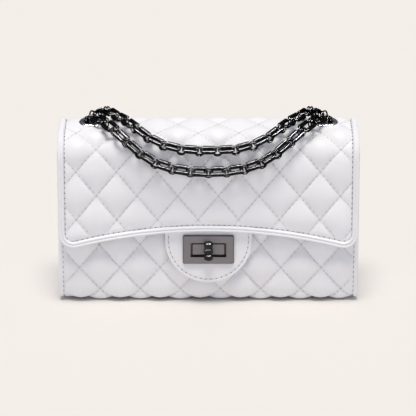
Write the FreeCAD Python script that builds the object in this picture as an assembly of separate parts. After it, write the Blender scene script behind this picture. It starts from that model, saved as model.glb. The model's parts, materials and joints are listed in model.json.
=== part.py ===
import FreeCAD, Part
import math
import os
from collections import namedtuple
from FreeCAD import Matrix, Placement, Rotation, Vector

# Quilted leather shoulder bag with a turn-lock flap and a doubled chain strap.
# Lengths are millimetres and angles are degrees.
# +X is the viewer's right, the front faces -Y, +Z is up.
# The origin is the centre of the base's underside.

# Body
body_width = 262.0
mouth_depth = 66.6
front_height = 137.5
panel_lean = 3.5
belly_radius = 110.0
belly_turn = 14.0
lining_corner_radius = 2.0
panel_thickness = 5.0
board_thickness = 1.2
lining_thickness = 0.8
gusset_thickness = 2.5
gusset_setback = 4.0
gusset_fold = 12.0
fold_start_height = 30.0
seam_room = 2.2
rim_gap = 1.5
mouth_binding_thickness = 1.5

# Quilting
quilt_width = 35.2
quilt_height = 42.4
quilt_depth = 2.6
quilt_power = 0.8
quilt_skin = 0.1
quilt_seat_lift = 0.4
quilt_fade = 7.0
quilt_seat_margin = 1.0
quilt_samples = 8
quilt_overrun = 3.0
body_quilt_side = 10.5
body_quilt_height = 53.2
flap_quilt_side = -9.0
flap_quilt_height = 78.6

# Flap
flap_side_gap = 1.0
flap_thickness = 5.0
flap_lining_thickness = 0.8
flap_edge_height = 68.0
flap_arch_radius = 470.0
flap_corner_radius = 12.5
flap_binding_width = 5.0
flap_rise = 19.7
flap_top_tilt = 5.0
flap_back_slope = 55.0
flap_front_radius_share = 0.39
flap_back_radius_share = 0.225

# Seam that the flap turns on
hinge_drop = 11.0
hinge_roll_radius = 2.2
hinge_clearance = 0.3
hinge_tongue_height = 2.0
hinge_tongue_thickness = 2.0
flap_root_gap = 1.8

# Tongue under the flap
tab_width = 75.4
tab_bottom_height = 20.8
tab_overlap = 28.0
tab_thickness = 1.8
tab_lining_thickness = 0.8
tab_gap = 0.4

# Turn lock
lock_height = 51.0
plate_width = 44.5
plate_height = 25.5
plate_thickness = 2.5
plate_corner_radius = 1.5
plate_bevel = 0.7
slot_width = 30.5
slot_height = 12.0
slot_corner_radius = 0.8
backing_margin = 1.6
screw_inset = 3.2
screw_radius = 0.9
screw_head_radius = 1.5
screw_head_height = 0.4
screw_depth = 1.3
block_width = 28.0
block_height = 9.4
block_recess = 0.5
block_bevel = 0.4
flange_margin = 1.8
flange_thickness = 0.8
flange_clearance = 0.6
back_plate_width = 30.0
back_plate_height = 12.0
back_plate_thickness = 1.2
rivet_radius = 1.2
rivet_spacing = 20.0
rivet_depth = 2.0
spindle_radius = 2.2
running_clearance = 0.08
spring_washer_radius = 4.6
spring_washer_thickness = 0.6
retainer_radius = 4.0
retainer_thickness = 0.9
knob_length = 16.2
knob_radius = 3.9
knob_groove_radius = 2.9
knob_bead_count = 3
knob_bead_turn = 65
knob_lift = 0.4
knob_seat_depth = 2.4

# Eyelets
eyelet_side_distance = 28.5
eyelet_room = 0.8
eyelet_flange_width = 4.0
eyelet_crown = 1.5
eyelet_lip = 0.7
eyelet_wall = 0.7
eyelet_clearance = 0.1
eyelet_washer_thickness = 1.0

# Chain
link_length = 14.6
link_width = 12.6
link_bar = 3.8
link_bar_length = 11.0
link_bar_round = 0.5
link_wire = 1.7
link_corner_radius = 2.2
link_gap = 0.8
ring_radius = 3.7
ring_wire = 1.3
ring_offset = 1.3
ring_hang = 1.2
end_ring_radius = 5.0
end_ring_wire = 1.4
end_bar_distance = 5.0
end_ring_place_share = 0.43
inner_bar_reach = 1.8
pin_lift = 5.6
strand_clearance = 0.3
front_drop_share = 0.29
strand_gap = 14.5
front_strand_power = 2.4
back_strand_power = 3.1
flat_tilt = 90.0
front_width_heading = 198.0
back_width_heading = 188.0
halvings = 60

# Sizes that follow
half_body = body_width / 2
flap_width = body_width - 2 * flap_side_gap
flap_top_height = front_height + flap_rise
flap_front_radius = mouth_depth * flap_front_radius_share
flap_back_radius = mouth_depth * flap_back_radius_share
hinge_height = front_height - hinge_drop
eyelet_spacing = flap_width - 2 * eyelet_side_distance
half_eyelet_spacing = eyelet_spacing / 2
front_drop_limit = eyelet_spacing * front_drop_share
wall_thickness = panel_thickness + board_thickness + lining_thickness
base_edge_radius = wall_thickness + lining_corner_radius
flap_total = flap_thickness + flap_lining_thickness
flap_standoff = tab_gap + tab_lining_thickness + tab_thickness
link_pitch = link_length + link_gap
link_span = link_width - link_bar
bar_gap = link_gap + link_wire
wire_radius = link_wire / 2
link_run = link_length - link_wire
strand_lift = strand_clearance + link_width / 2
end_joint_reach = end_bar_distance - bar_gap / 2
eyelet_bore_radius = link_width / 2 + eyelet_room
eyelet_barrel_radius = eyelet_bore_radius + eyelet_wall
eyelet_flange_radius = eyelet_bore_radius + eyelet_flange_width
cut_reach = body_width + flap_top_height

LEAN = math.radians(panel_lean)
X_AXIS = Vector(1, 0, 0)
Y_AXIS = Vector(0, 1, 0)
Z_AXIS = Vector(0, 0, 1)


def at(y, z):
    """A point of the lengthwise section, in the plane x = 0."""
    return Vector(0, y, z)


def heading(degrees):
    """Unit vector of the section at an angle from +Y towards +Z."""
    angle = math.radians(degrees)
    return at(math.cos(angle), math.sin(angle))


def arc_between(centre, radius, start_degrees, end_degrees):
    """Arc of the section about a centre, from one heading to another."""
    middle_degrees = (start_degrees + end_degrees) / 2
    points = [centre + heading(a) * radius for a in (start_degrees, middle_degrees, end_degrees)]
    return Part.Arc(*points).toShape()


def straight(start, end):
    return Part.LineSegment(start, end).toShape()


def face_of(edges):
    return Part.Face(Part.Wire(Part.__sortEdges__(edges)))


def across(face, width):
    """Solid made by widening a section face evenly to both sides of x = 0."""
    moved = face.translated(Vector(-width / 2, 0, 0))
    return moved.extrude(Vector(width, 0, 0))


def mirrored(shape, normal):
    return shape.mirror(Vector(0, 0, 0), normal)


def save(name, *solids):
    shape = solids[0] if len(solids) == 1 else Part.makeCompound(list(solids))
    shape.exportStep(os.path.join("parts", name + ".step"))


# Lengthwise section of the body. The front wall is a leaning line, a belly arc and an edge arc.

def half_depth(height, inset):
    """Distance from the middle plane to the leaning wall, a given depth inside its outer face."""
    slope = (front_height - height) * math.tan(LEAN)
    return mouth_depth / 2 + slope - inset / math.cos(LEAN)


belly_end_height = base_edge_radius * (1 - math.sin(math.radians(belly_turn)))
belly_centre_height = belly_end_height + belly_radius * math.sin(math.radians(belly_turn))
belly_top_height = belly_centre_height + belly_radius * math.sin(LEAN)
belly_centre = at(-half_depth(belly_top_height, 0) + belly_radius * math.cos(LEAN), belly_centre_height)
edge_centre_y = belly_centre.y - (belly_radius - base_edge_radius) * math.cos(math.radians(belly_turn))
edge_centre = at(edge_centre_y, base_edge_radius)
base_half_depth = -edge_centre.y


def front_wall_edges(inset, top):
    """Edges of the front wall at a depth inside its outer face, from the top down to the base."""
    lean_heading = 180 - panel_lean
    belly_heading = 180 + belly_turn
    belly_start = belly_centre + heading(lean_heading) * (belly_radius - inset)
    return [
        straight(at(-half_depth(top, inset), top), belly_start),
        arc_between(belly_centre, belly_radius - inset, lean_heading, belly_heading),
        arc_between(edge_centre, base_edge_radius - inset, belly_heading, 270),
    ]


def front_wall(top, outer_inset, inner_inset, width):
    """One layer of the front wall, down to where the flat base starts."""
    edges = front_wall_edges(outer_inset, top) + front_wall_edges(inner_inset, top)
    edges.append(straight(at(-half_depth(top, outer_inset), top), at(-half_depth(top, inner_inset), top)))
    edges.append(straight(at(-base_half_depth, outer_inset), at(-base_half_depth, inner_inset)))
    return across(face_of(edges), width)


def base_layer(bottom, thickness, width):
    corner = Vector(-width / 2, -base_half_depth, bottom)
    return Part.makeBox(width, 2 * base_half_depth, thickness, corner)


def cavity(inset, front_top, back_top, width):
    """The space inside the walls, up to a sloping line from the front edge to the back edge."""
    front = front_wall_edges(inset, front_top)
    back = [mirrored(edge, Y_AXIS) for edge in front_wall_edges(inset, back_top)]
    base = straight(at(-base_half_depth, inset), at(base_half_depth, inset))
    mouth = straight(at(-half_depth(front_top, inset), front_top), at(half_depth(back_top, inset), back_top))
    return across(face_of(front + back + [base, mouth]), width)


# Frame of the leaning front: local x is +X, local y runs up the wall, local z points out of it.
lock_origin = at(-half_depth(lock_height, 0), lock_height)
front_frame = Placement(lock_origin, Rotation(X_AXIS, 90 - panel_lean))
out_of_front = at(-math.cos(LEAN), math.sin(LEAN))


def on_front(shape):
    placed = shape.copy()
    placed.Placement = front_frame.multiply(shape.Placement)
    return placed


# Lengthwise section of the flap's outer surface: front line, front arc, top line, back arc, back line.
back_top_drop = hinge_roll_radius + hinge_tongue_height
back_height = hinge_height - back_top_drop
hinge_axis = at(half_depth(hinge_height, panel_thickness / 2), hinge_height)
front_heading = 90 - panel_lean
top_heading = flap_top_tilt
back_heading = -flap_back_slope


def crossing(point, along, other, other_along):
    """Where two lines of the section cross."""
    gap = other - point
    scale = along.y * other_along.z - along.z * other_along.y
    return point + along * ((gap.y * other_along.z - gap.z * other_along.y) / scale)


front_line_point = lock_origin + out_of_front * (flap_standoff + flap_total)
top_line_point = at(0, flap_top_height)
back_line_point = hinge_axis + heading(back_heading + 90) * (flap_total / 2)
front_corner = crossing(front_line_point, heading(front_heading), top_line_point, heading(top_heading))
back_corner = crossing(top_line_point, heading(top_heading), back_line_point, heading(back_heading))
front_turn = front_heading - top_heading
back_turn = top_heading - back_heading
front_tangent = flap_front_radius * math.tan(math.radians(front_turn / 2))
back_tangent = flap_back_radius * math.tan(math.radians(back_turn / 2))
front_arc_centre = (front_corner + heading(top_heading) * front_tangent
                    - heading(top_heading + 90) * flap_front_radius)
back_arc_centre = (back_corner - heading(top_heading) * back_tangent
                   - heading(top_heading + 90) * flap_back_radius)
top_start = front_arc_centre + heading(top_heading + 90) * flap_front_radius
top_end = back_arc_centre + heading(top_heading + 90) * flap_back_radius
back_start = back_arc_centre + heading(back_heading + 90) * flap_back_radius
back_end = back_line_point - heading(back_heading) * flap_root_gap
flap_front_length = flap_top_height - flap_edge_height + flap_arch_radius - math.sqrt(
    flap_arch_radius ** 2 - (flap_width / 2) ** 2)


def flap_edges(depth):
    """Edges of the flap's section at a depth under its outer surface, from the front edge to the root."""
    front_radius = flap_front_radius - depth
    back_radius = flap_back_radius - depth
    front_start = front_arc_centre + heading(front_heading + 90) * front_radius
    front_end = front_start - heading(front_heading) * flap_front_length
    sink = heading(top_heading + 90) * depth
    back_sink = heading(back_heading + 90) * depth
    return [
        straight(front_end, front_start),
        arc_between(front_arc_centre, front_radius, front_heading + 90, top_heading + 90),
        straight(top_start - sink, top_end - sink),
        arc_between(back_arc_centre, back_radius, top_heading + 90, back_heading + 90),
        straight(back_start - back_sink, back_end - back_sink),
    ]


def flap_layer(top_depth, bottom_depth):
    """One layer of the flap, wider and longer than its outline, with room for the seam roll."""
    upper = flap_edges(top_depth)
    lower = flap_edges(bottom_depth)
    root = straight(upper[-1].Vertexes[-1].Point, lower[-1].Vertexes[-1].Point)
    tip = straight(upper[0].Vertexes[0].Point, lower[0].Vertexes[0].Point)
    layer = across(face_of(upper + lower + [root, tip]), flap_width)
    return layer.cut(hinge_cylinder(hinge_roll_radius + hinge_clearance, flap_width))


def hinge_cylinder(radius, width):
    return Part.makeCylinder(radius, width, hinge_axis - X_AXIS * (width / 2), X_AXIS)


def flap_outline(inset):
    """Upright prism of the flap's outline seen from the front, a given width inside its edge."""
    half = flap_width / 2
    arch_centre = Vector(0, -cut_reach / 2, flap_edge_height - flap_arch_radius)
    corner_x = half - flap_corner_radius
    corner_rise = math.sqrt((flap_arch_radius + flap_corner_radius) ** 2 - corner_x ** 2)
    corner = arch_centre + Vector(corner_x, 0, corner_rise)
    radius = flap_corner_radius - inset
    top = Z_AXIS * cut_reach
    side = corner + X_AXIS * radius
    to_arch = (arch_centre - corner).normalize()
    foot = corner + to_arch * radius
    bisector = (to_arch + X_AXIS).normalize()
    right = Part.Arc(side, corner + bisector * radius, foot).toShape()
    left = mirrored(right, X_AXIS)
    crown = arch_centre + Z_AXIS * (flap_arch_radius + inset)
    foot_left = Vector(-foot.x, foot.y, foot.z)
    side_left = Vector(-side.x, side.y, side.z)
    edges = [
        right,
        left,
        Part.Arc(foot, crown, foot_left).toShape(),
        straight(side, side + top),
        straight(side_left, side_left + top),
        straight(side + top, side_left + top),
    ]
    return face_of(edges).extrude(Y_AXIS * cut_reach)


# Quilting. A padded face sinks along slanting seams that cross, and stays smooth where pieces seat on it.

def smooth_share(value):
    value = min(max(value, 0), 1)
    return value * value * (3 - 2 * value)


def quilt_sink(side, along, smooth_gap):
    """Depth of a padded face at a place measured from a crossing; it fades out near a smooth place."""
    first = side / quilt_width + along / quilt_height
    second = side / quilt_width - along / quilt_height
    rise = abs(math.sin(math.pi * first) * math.sin(math.pi * second)) ** quilt_power
    sink = quilt_skin + quilt_depth * (1 - rise)
    return (sink + quilt_seat_lift) * smooth_share(smooth_gap / quilt_fade) - quilt_seat_lift


def sample_places(low, high, crossing_place, crossing_gap):
    """Evenly spaced places that cover a range and pass through a crossing."""
    step = crossing_gap / quilt_samples
    first = math.floor((low - crossing_place) / step) - 1
    last = math.ceil((high - crossing_place) / step) + 1
    return [crossing_place + step * index for index in range(first, last + 1)]


def spline_face(points):
    surface = Part.BSplineSurface()
    surface.interpolate(points)
    return surface.toShape()


def quilt_cover(sides, places, surface, sink):
    """Solid over a padded face: what is cut from a smooth panel to leave its padding."""
    def sheet(depth):
        rows = []
        for side in sides:
            row = []
            for place in places:
                point, normal = surface(place)
                row.append(point + X_AXIS * side - normal * depth(side, place))
            rows.append(row)
        return rows

    lower = sheet(sink)
    upper = sheet(lambda side, place: -quilt_overrun)
    faces = [spline_face(lower), spline_face(upper)]
    for pick in (lambda rows: rows[0], lambda rows: rows[-1],
                 lambda rows: [row[0] for row in rows], lambda rows: [row[-1] for row in rows]):
        faces.append(spline_face([pick(lower), pick(upper)]))
    shell = Part.Shell(faces)
    shell.sewShape()
    cover = Part.Solid(shell)
    return cover if cover.Volume > 0 else cover.reversed()


wall_line_length = (front_height - belly_top_height) / math.cos(LEAN)
belly_length = belly_radius * math.radians(belly_turn + panel_lean)
edge_length = base_edge_radius * math.radians(90 - belly_turn)
back_line_length = (back_height - belly_top_height) / math.cos(LEAN)
front_wall_length = wall_line_length + belly_length + edge_length
back_wall_length = back_line_length + belly_length + edge_length
body_wrap_length = front_wall_length + 2 * base_half_depth + back_wall_length
body_crossing = (front_height - body_quilt_height) / math.cos(LEAN)


def wall_surface(distance):
    """Point and outward normal of the front wall's outer face, at a distance under its top edge."""
    past_line = distance - wall_line_length
    past_belly = past_line - belly_length
    past_edge = past_belly - edge_length
    if past_line < 0:
        normal = heading(180 - panel_lean)
        return belly_centre + normal * belly_radius - heading(270 - panel_lean) * -past_line, normal
    if past_belly < 0:
        normal = heading(180 - panel_lean + math.degrees(past_line / belly_radius))
        return belly_centre + normal * belly_radius, normal
    if past_edge < 0:
        normal = heading(180 + belly_turn + math.degrees(past_belly / base_edge_radius))
        return edge_centre + normal * base_edge_radius, normal
    return at(-base_half_depth + past_edge, 0), heading(270)


def body_quilt_cover(top_distance, along_of, seat_gap):
    """Quilting of one wall, from its top edge down to the flat base."""
    sides = sample_places(-half_body, half_body, body_quilt_side, quilt_width)
    places = sample_places(top_distance, front_wall_length, body_crossing, quilt_height)

    def sink(side, place):
        ends = min(place - top_distance, front_wall_length - place) - quilt_seat_margin
        gap = min(ends, seat_gap(side, place))
        return quilt_sink(side - body_quilt_side, along_of(place) - body_crossing, gap)

    return quilt_cover(sides, places, wall_surface, sink)


def front_quilt_cover():
    lock_place = (front_height - lock_height) / math.cos(LEAN)
    seat_half_width = block_width / 2 + flange_margin + quilt_seat_margin
    seat_half_height = block_height / 2 + flange_margin + quilt_seat_margin

    def seat_gap(side, place):
        return max(abs(side) - seat_half_width, abs(place - lock_place) - seat_half_height)

    return body_quilt_cover(0, lambda place: place, seat_gap)


def back_quilt_cover():
    top_distance = front_wall_length - back_wall_length

    def along_of(place):
        return body_wrap_length - (place - top_distance)

    return mirrored(body_quilt_cover(top_distance, along_of, lambda side, place: body_width), Y_AXIS)


# Rectangles and rounded plates of the front frame.

def plate(width, height, bottom, top, corner_radius=0):
    box = Part.makeBox(width, height, top - bottom, Vector(-width / 2, -height / 2, bottom))
    if corner_radius:
        upright = [e for e in box.Edges if e.Vertexes[0].Z != e.Vertexes[-1].Z]
        box = box.makeFillet(corner_radius, upright)
    return box


def rod(radius, bottom, top, x=0, y=0):
    return Part.makeCylinder(radius, top - bottom, Vector(x, y, bottom), Z_AXIS)


def rim_edges(solid, height):
    """The edges of a solid that lie at one height of the front frame."""
    return [e for e in solid.Edges if all(abs(v.Z - height) < Part.Precision.confusion() for v in e.Vertexes)]


def lock_levels():
    """Heights over the front panel's face at which the lock's pieces start and end."""
    tab_outer_start = tab_gap + tab_lining_thickness
    plate_top = flap_standoff + plate_thickness
    back_plate_face = -wall_thickness - back_plate_thickness
    spring_face = back_plate_face - spring_washer_thickness
    return {
        "tab_outer_start": tab_outer_start,
        "plate_top": plate_top,
        "block_top": plate_top - block_recess,
        "lining_face": -wall_thickness,
        "back_plate_face": back_plate_face,
        "spring_face": spring_face,
        "retainer_face": spring_face - retainer_thickness,
    }


LEVEL = lock_levels()
knob_axis_height = LEVEL["plate_top"] + knob_lift + knob_radius
rivet_places = (-rivet_spacing / 2, rivet_spacing / 2)
through_slot_width = block_width + 2 * (flange_margin + flange_clearance)
through_slot_height = block_height + 2 * (flange_margin + flange_clearance)


def lock_holes():
    """What the spindle and the rivets cut from the wall behind the lock."""
    bottom = LEVEL["retainer_face"]
    holes = rod(spindle_radius + running_clearance, bottom, LEVEL["plate_top"])
    for x in rivet_places:
        holes = holes.fuse(rod(rivet_radius, bottom, flange_thickness + rivet_depth, x))
    return holes


# Body pieces

def make_body():
    wall_holes = on_front(lock_holes())
    gusset_face = half_body - gusset_setback
    inner_half = gusset_face - gusset_thickness - seam_room
    board_top = front_height - rim_gap
    back_board_top = back_height - rim_gap
    inner_face = panel_thickness + board_thickness

    front_panel = front_wall(front_height, 0, panel_thickness, body_width).cut(front_quilt_cover())
    back_panel = mirrored(front_wall(back_height, 0, panel_thickness, body_width), Y_AXIS)
    save("front_panel", front_panel.cut(wall_holes))
    save("back_panel", back_panel.cut(back_quilt_cover()))
    save("base_panel", base_layer(0, panel_thickness, body_width))
    save("front_board", front_wall(board_top, panel_thickness, inner_face, 2 * inner_half).cut(wall_holes))
    back_board = front_wall(back_board_top, panel_thickness, inner_face, 2 * inner_half)
    save("back_board", mirrored(back_board, Y_AXIS))
    save("base_board", base_layer(panel_thickness, board_thickness, 2 * inner_half))

    front_lining = front_wall(board_top, inner_face, wall_thickness, 2 * inner_half).cut(wall_holes)
    back_lining = mirrored(front_wall(back_board_top, inner_face, wall_thickness, 2 * inner_half), Y_AXIS)
    base_lining = base_layer(inner_face, lining_thickness, 2 * inner_half)
    save("lining_wrap", base_lining.multiFuse([front_lining, back_lining]).removeSplitter())

    inner_space = cavity(wall_thickness, board_top, back_board_top, body_width)
    gusset_space = cavity(panel_thickness, board_top, back_board_top, body_width)
    right_gusset = folded_side(gusset_face, gusset_thickness).common(gusset_space)
    right_lining = folded_side(gusset_face - gusset_thickness, lining_thickness).common(inner_space)
    save("right_gusset", right_gusset)
    save("left_gusset", mirrored(right_gusset, X_AXIS))
    save("lining_right", right_lining)
    save("lining_left", mirrored(right_lining, X_AXIS))

    binding_depth = panel_thickness / math.cos(LEAN)
    binding_corner = Vector(-half_body, -half_depth(front_height, 0), front_height)
    mouth_binding = Part.makeBox(body_width, binding_depth, mouth_binding_thickness, binding_corner)
    save("front_mouth_binding", mouth_binding)

    tongue_corner = hinge_axis + Vector(-half_body, -hinge_tongue_thickness / 2, -back_top_drop)
    tongue = Part.makeBox(body_width, hinge_tongue_thickness, back_top_drop, tongue_corner)
    save("hinge_roll", hinge_cylinder(hinge_roll_radius, body_width).fuse(tongue).removeSplitter())


def folded_side(face_x, thickness):
    """A side piece that is flat at the base and folds inwards towards its top."""
    sections = []
    for height, fold in ((0, 0), (fold_start_height, 0), (front_height, gusset_fold)):
        half = half_depth(height, panel_thickness) + seam_room
        ridge = Vector(face_x - fold, 0, height)
        outer = [Vector(face_x, -half, height), ridge, Vector(face_x, half, height)]
        inner = [point - X_AXIS * thickness for point in reversed(outer)]
        sections.append(Part.makePolygon(outer + inner + outer[:1]))
    return Part.makeLoft(sections, True, True)


# Turn lock pieces

def make_lock():
    block_top = LEVEL["block_top"]
    spindle_hole = rod(spindle_radius + running_clearance, LEVEL["retainer_face"], LEVEL["plate_top"])
    block = plate(block_width, block_height, 0, block_top, slot_corner_radius)
    block = block.makeChamfer(block_bevel, rim_edges(block, block_top))
    flange = plate(block_width + 2 * flange_margin, block_height + 2 * flange_margin, 0, flange_thickness,
                   plate_corner_radius)
    base = block.fuse(flange).removeSplitter().cut(lock_holes())
    save("lock_base", on_front(base))

    back_plate = plate(back_plate_width, back_plate_height, LEVEL["back_plate_face"], LEVEL["lining_face"],
                       plate_corner_radius)
    save("lock_back_plate", on_front(back_plate.cut(lock_holes())))
    rivet_top = flange_thickness + rivet_depth
    rivets = [rod(rivet_radius, LEVEL["back_plate_face"], rivet_top, x) for x in rivet_places]
    save("lock_rivets", *[on_front(rivet) for rivet in rivets])
    spring = rod(spring_washer_radius, LEVEL["spring_face"], LEVEL["back_plate_face"])
    save("lock_spring_washer", on_front(spring.cut(spindle_hole)))

    spindle_top = knob_axis_height - knob_radius + knob_seat_depth
    spindle = rod(spindle_radius, LEVEL["retainer_face"], spindle_top)
    retainer = rod(retainer_radius, LEVEL["retainer_face"], LEVEL["spring_face"])
    save("lock_spindle", on_front(spindle))
    save("lock_retainer", on_front(retainer.cut(spindle)))
    save("lock_knob", on_front(turned_knob().cut(spindle)))


def turned_knob():
    """A short turned bar of round beads that lies across the spindle's end."""
    bead = knob_length / knob_bead_count
    turn = math.radians(knob_bead_turn)
    rounding = (knob_radius - knob_groove_radius) / (1 - math.cos(turn))

    def on_bead(low, share):
        angle = turn * (1 - share)
        out = rounding * (math.cos(angle) - math.cos(turn))
        return low + Vector(out, rounding * (math.sin(turn) - math.sin(angle)), 0)

    start = Vector(knob_groove_radius, -knob_length / 2, 0)
    edges = [straight(Vector(0, start.y, 0), start)]
    for index in range(knob_bead_count):
        low = start + Y_AXIS * (bead * index)
        rise = [on_bead(low, share) for share in (0, 0.5, 1)]
        fall = [Vector(point.x, 2 * low.y + bead - point.y, 0) for point in reversed(rise)]
        edges.append(Part.Arc(*rise).toShape())
        edges.append(straight(rise[2], fall[0]))
        edges.append(Part.Arc(*fall).toShape())
    edges.append(straight(start + Y_AXIS * knob_length, Vector(0, knob_length / 2, 0)))
    edges.append(straight(Vector(0, knob_length / 2, 0), Vector(0, -knob_length / 2, 0)))
    bar = face_of(edges).revolve(Vector(0, 0, 0), Y_AXIS, 360)
    return bar.translated(Z_AXIS * knob_axis_height)


# Flap, tongue and the lock plate that they carry

def make_flap():
    inner = flap_outline(flap_binding_width)
    holes = Part.makeCompound([on_eyelet(place, eyelet_hole()) for place in eyelet_places()])
    padded = flap_layer(0, flap_thickness).cut(flap_quilt_cover())
    save("flap_outer", padded.common(inner).cut(holes))
    save("flap_lining", flap_layer(flap_thickness, flap_total).common(inner).cut(holes))
    save("flap_binding", flap_layer(0, flap_total).common(flap_outline(0)).cut(inner))

    tab_start = LEVEL["tab_outer_start"]
    through_slot = plate(through_slot_width, through_slot_height, 0, LEVEL["plate_top"], slot_corner_radius)
    backing = plate(plate_width - 2 * backing_margin, plate_height - 2 * backing_margin, tab_gap, tab_start,
                    plate_corner_radius)
    screws = [plate_screw(x, y) for x in screw_columns() for y in screw_rows()]
    screw_holes = Part.makeCompound(screws)
    save("tab_outer", on_front(tab_layer(tab_start, flap_standoff).cut(through_slot).cut(screw_holes)))
    save("tab_lining", on_front(tab_layer(tab_gap, tab_start).cut(backing).cut(through_slot)))
    save("faceplate_backing", on_front(backing.cut(through_slot).cut(screw_holes)))
    save("faceplate_screws", *[on_front(screw) for screw in screws])

    face = plate(plate_width, plate_height, flap_standoff, LEVEL["plate_top"], plate_corner_radius)
    face = face.makeChamfer(plate_bevel, rim_edges(face, LEVEL["plate_top"]))
    slot = plate(slot_width, slot_height, 0, LEVEL["plate_top"] + plate_thickness, slot_corner_radius)
    save("lock_faceplate", on_front(face.cut(slot).cut(screw_holes)))


def tab_layer(bottom, top):
    """One layer of the tongue: straight sides and a half-round end."""
    half = tab_width / 2
    end = (tab_bottom_height - lock_height) / math.cos(LEAN)
    middle = end + half
    root = (flap_edge_height + tab_overlap - lock_height) / math.cos(LEAN)
    left = Vector(-half, middle, bottom)
    right = Vector(half, middle, bottom)
    root_left = Vector(-half, root, bottom)
    root_right = Vector(half, root, bottom)
    edges = [
        Part.Arc(left, Vector(0, end, bottom), right).toShape(),
        straight(right, root_right),
        straight(root_right, root_left),
        straight(root_left, left),
    ]
    return face_of(edges).extrude(Z_AXIS * (top - bottom))


def screw_columns():
    reach = plate_width / 2 - screw_inset
    return (-reach, reach)


def screw_rows():
    reach = plate_height / 2 - screw_inset
    return (-reach, reach)


def plate_screw(x, y):
    shank = rod(screw_radius, tab_gap, flap_standoff + screw_depth, x, y)
    head = rod(screw_head_radius, tab_gap, tab_gap + screw_head_height, x, y)
    return shank.fuse(head).removeSplitter()


# Eyelets. Distances along the flap are measured forwards from the front pair's centres.
front_eyelet = (top_start + top_end) * 0.5
back_eyelet = (back_start + back_end) * 0.5
top_run_forward = (front_eyelet - top_start).Length
top_run_back = (top_end - front_eyelet).Length
front_arc_length = flap_front_radius * math.radians(front_turn)
back_arc_length = flap_back_radius * math.radians(back_turn)
back_eyelet_distance = -(top_run_back + back_arc_length + (back_eyelet - back_start).Length)


def flap_surface(distance):
    """Point, heading forwards along the flap and outward normal at a distance along its outer surface."""
    past_back = -distance - top_run_back
    past_front = distance - top_run_forward
    if past_back > back_arc_length:
        point = back_start + heading(back_heading) * (past_back - back_arc_length)
        return point, -heading(back_heading), heading(back_heading + 90)
    if past_back > 0:
        turn = top_heading - math.degrees(past_back / flap_back_radius)
        normal = heading(turn + 90)
        return back_arc_centre + normal * flap_back_radius, -heading(turn), normal
    if past_front < 0:
        normal = heading(top_heading + 90)
        return front_eyelet - heading(top_heading) * distance, -heading(top_heading), normal
    if past_front < front_arc_length:
        turn = top_heading + math.degrees(past_front / flap_front_radius)
        normal = heading(turn + 90)
        return front_arc_centre + normal * flap_front_radius, -heading(turn), normal
    normal = heading(front_heading + 90)
    start = front_arc_centre + normal * flap_front_radius
    return start - heading(front_heading) * (past_front - front_arc_length), -heading(front_heading), normal


def eyelet_places():
    """Name, side and distance along the flap of each eyelet."""
    places = []
    for row, distance in (("front", 0), ("back", back_eyelet_distance)):
        for side_name, side in (("left", -1), ("right", 1)):
            places.append((row + "_" + side_name, side, distance))
    return places


def flap_quilt_cover():
    """Quilting of the flap, smooth round its eyelets and towards its root."""
    front_start = front_arc_centre + heading(front_heading + 90) * flap_front_radius
    crossing_place = (top_run_forward + front_arc_length
                      + (front_start.z - flap_quilt_height) / math.cos(LEAN))
    edge_place = crossing_place + (flap_quilt_height - flap_edge_height) / math.cos(LEAN) + flap_front_length
    root_place = back_eyelet_distance - (back_end - back_eyelet).Length
    sides = sample_places(-flap_width / 2, flap_width / 2, flap_quilt_side, quilt_width)
    places = sample_places(root_place, edge_place, crossing_place, quilt_height)

    def surface(place):
        point, _, normal = flap_surface(place)
        return point, normal

    def sink(side, place):
        gap = place - root_place - hinge_roll_radius - quilt_seat_margin
        for distance in (0, back_eyelet_distance):
            away = math.hypot(abs(side) - half_eyelet_spacing, place - distance)
            gap = min(gap, away - eyelet_flange_radius - quilt_seat_margin)
        return quilt_sink(side - flap_quilt_side, crossing_place - place, gap)

    return quilt_cover(sides, places, surface, sink)


def on_eyelet(place, shape):
    """Stand a shape on the flap at an eyelet, with its local z along the outward normal."""
    _, side, distance = place
    point, forwards, _ = flap_surface(distance)
    turned = placement_of(point + X_AXIS * (side * half_eyelet_spacing), X_AXIS, -forwards)
    placed = shape.copy()
    placed.Placement = turned.multiply(shape.Placement)
    return placed


def placement_of(origin, local_x, local_y):
    """Placement whose local x and y axes lie along two square unit vectors."""
    local_z = local_x.cross(local_y)
    return Placement(Matrix(local_x.x, local_y.x, local_z.x, origin.x,
                            local_x.y, local_y.y, local_z.y, origin.y,
                            local_x.z, local_y.z, local_z.z, origin.z,
                            0, 0, 0, 1))


def eyelet_hole():
    radius = eyelet_barrel_radius + eyelet_clearance
    return Part.makeCylinder(radius, 2 * flap_total, Z_AXIS * (-2 * flap_total + eyelet_crown), Z_AXIS)


def eyelet():
    """A barrel through the flap with a crowned flange on the outer face."""
    barrel_end = -flap_total - eyelet_washer_thickness
    crest_radius = eyelet_bore_radius + eyelet_flange_width / 2
    lip = Vector(eyelet_bore_radius, 0, eyelet_lip)
    edge = Vector(eyelet_flange_radius, 0, 0)
    edges = [
        straight(Vector(eyelet_bore_radius, 0, barrel_end), lip),
        Part.Arc(lip, Vector(crest_radius, 0, eyelet_crown), edge).toShape(),
        straight(edge, Vector(eyelet_barrel_radius, 0, 0)),
        straight(Vector(eyelet_barrel_radius, 0, 0), Vector(eyelet_barrel_radius, 0, barrel_end)),
        straight(Vector(eyelet_barrel_radius, 0, barrel_end), Vector(eyelet_bore_radius, 0, barrel_end)),
    ]
    return face_of(edges).revolve(Vector(0, 0, 0), Z_AXIS, 360)


def eyelet_washer():
    bottom = -flap_total - eyelet_washer_thickness
    return rod(eyelet_flange_radius, bottom, -flap_total).cut(
        rod(eyelet_barrel_radius, bottom, -flap_total))


def make_eyelets():
    for place in eyelet_places():
        save("eyelet_" + place[0], on_eyelet(place, eyelet()))
    save("eyelet_washers", *[on_eyelet(place, eyelet_washer()) for place in eyelet_places()])


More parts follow.
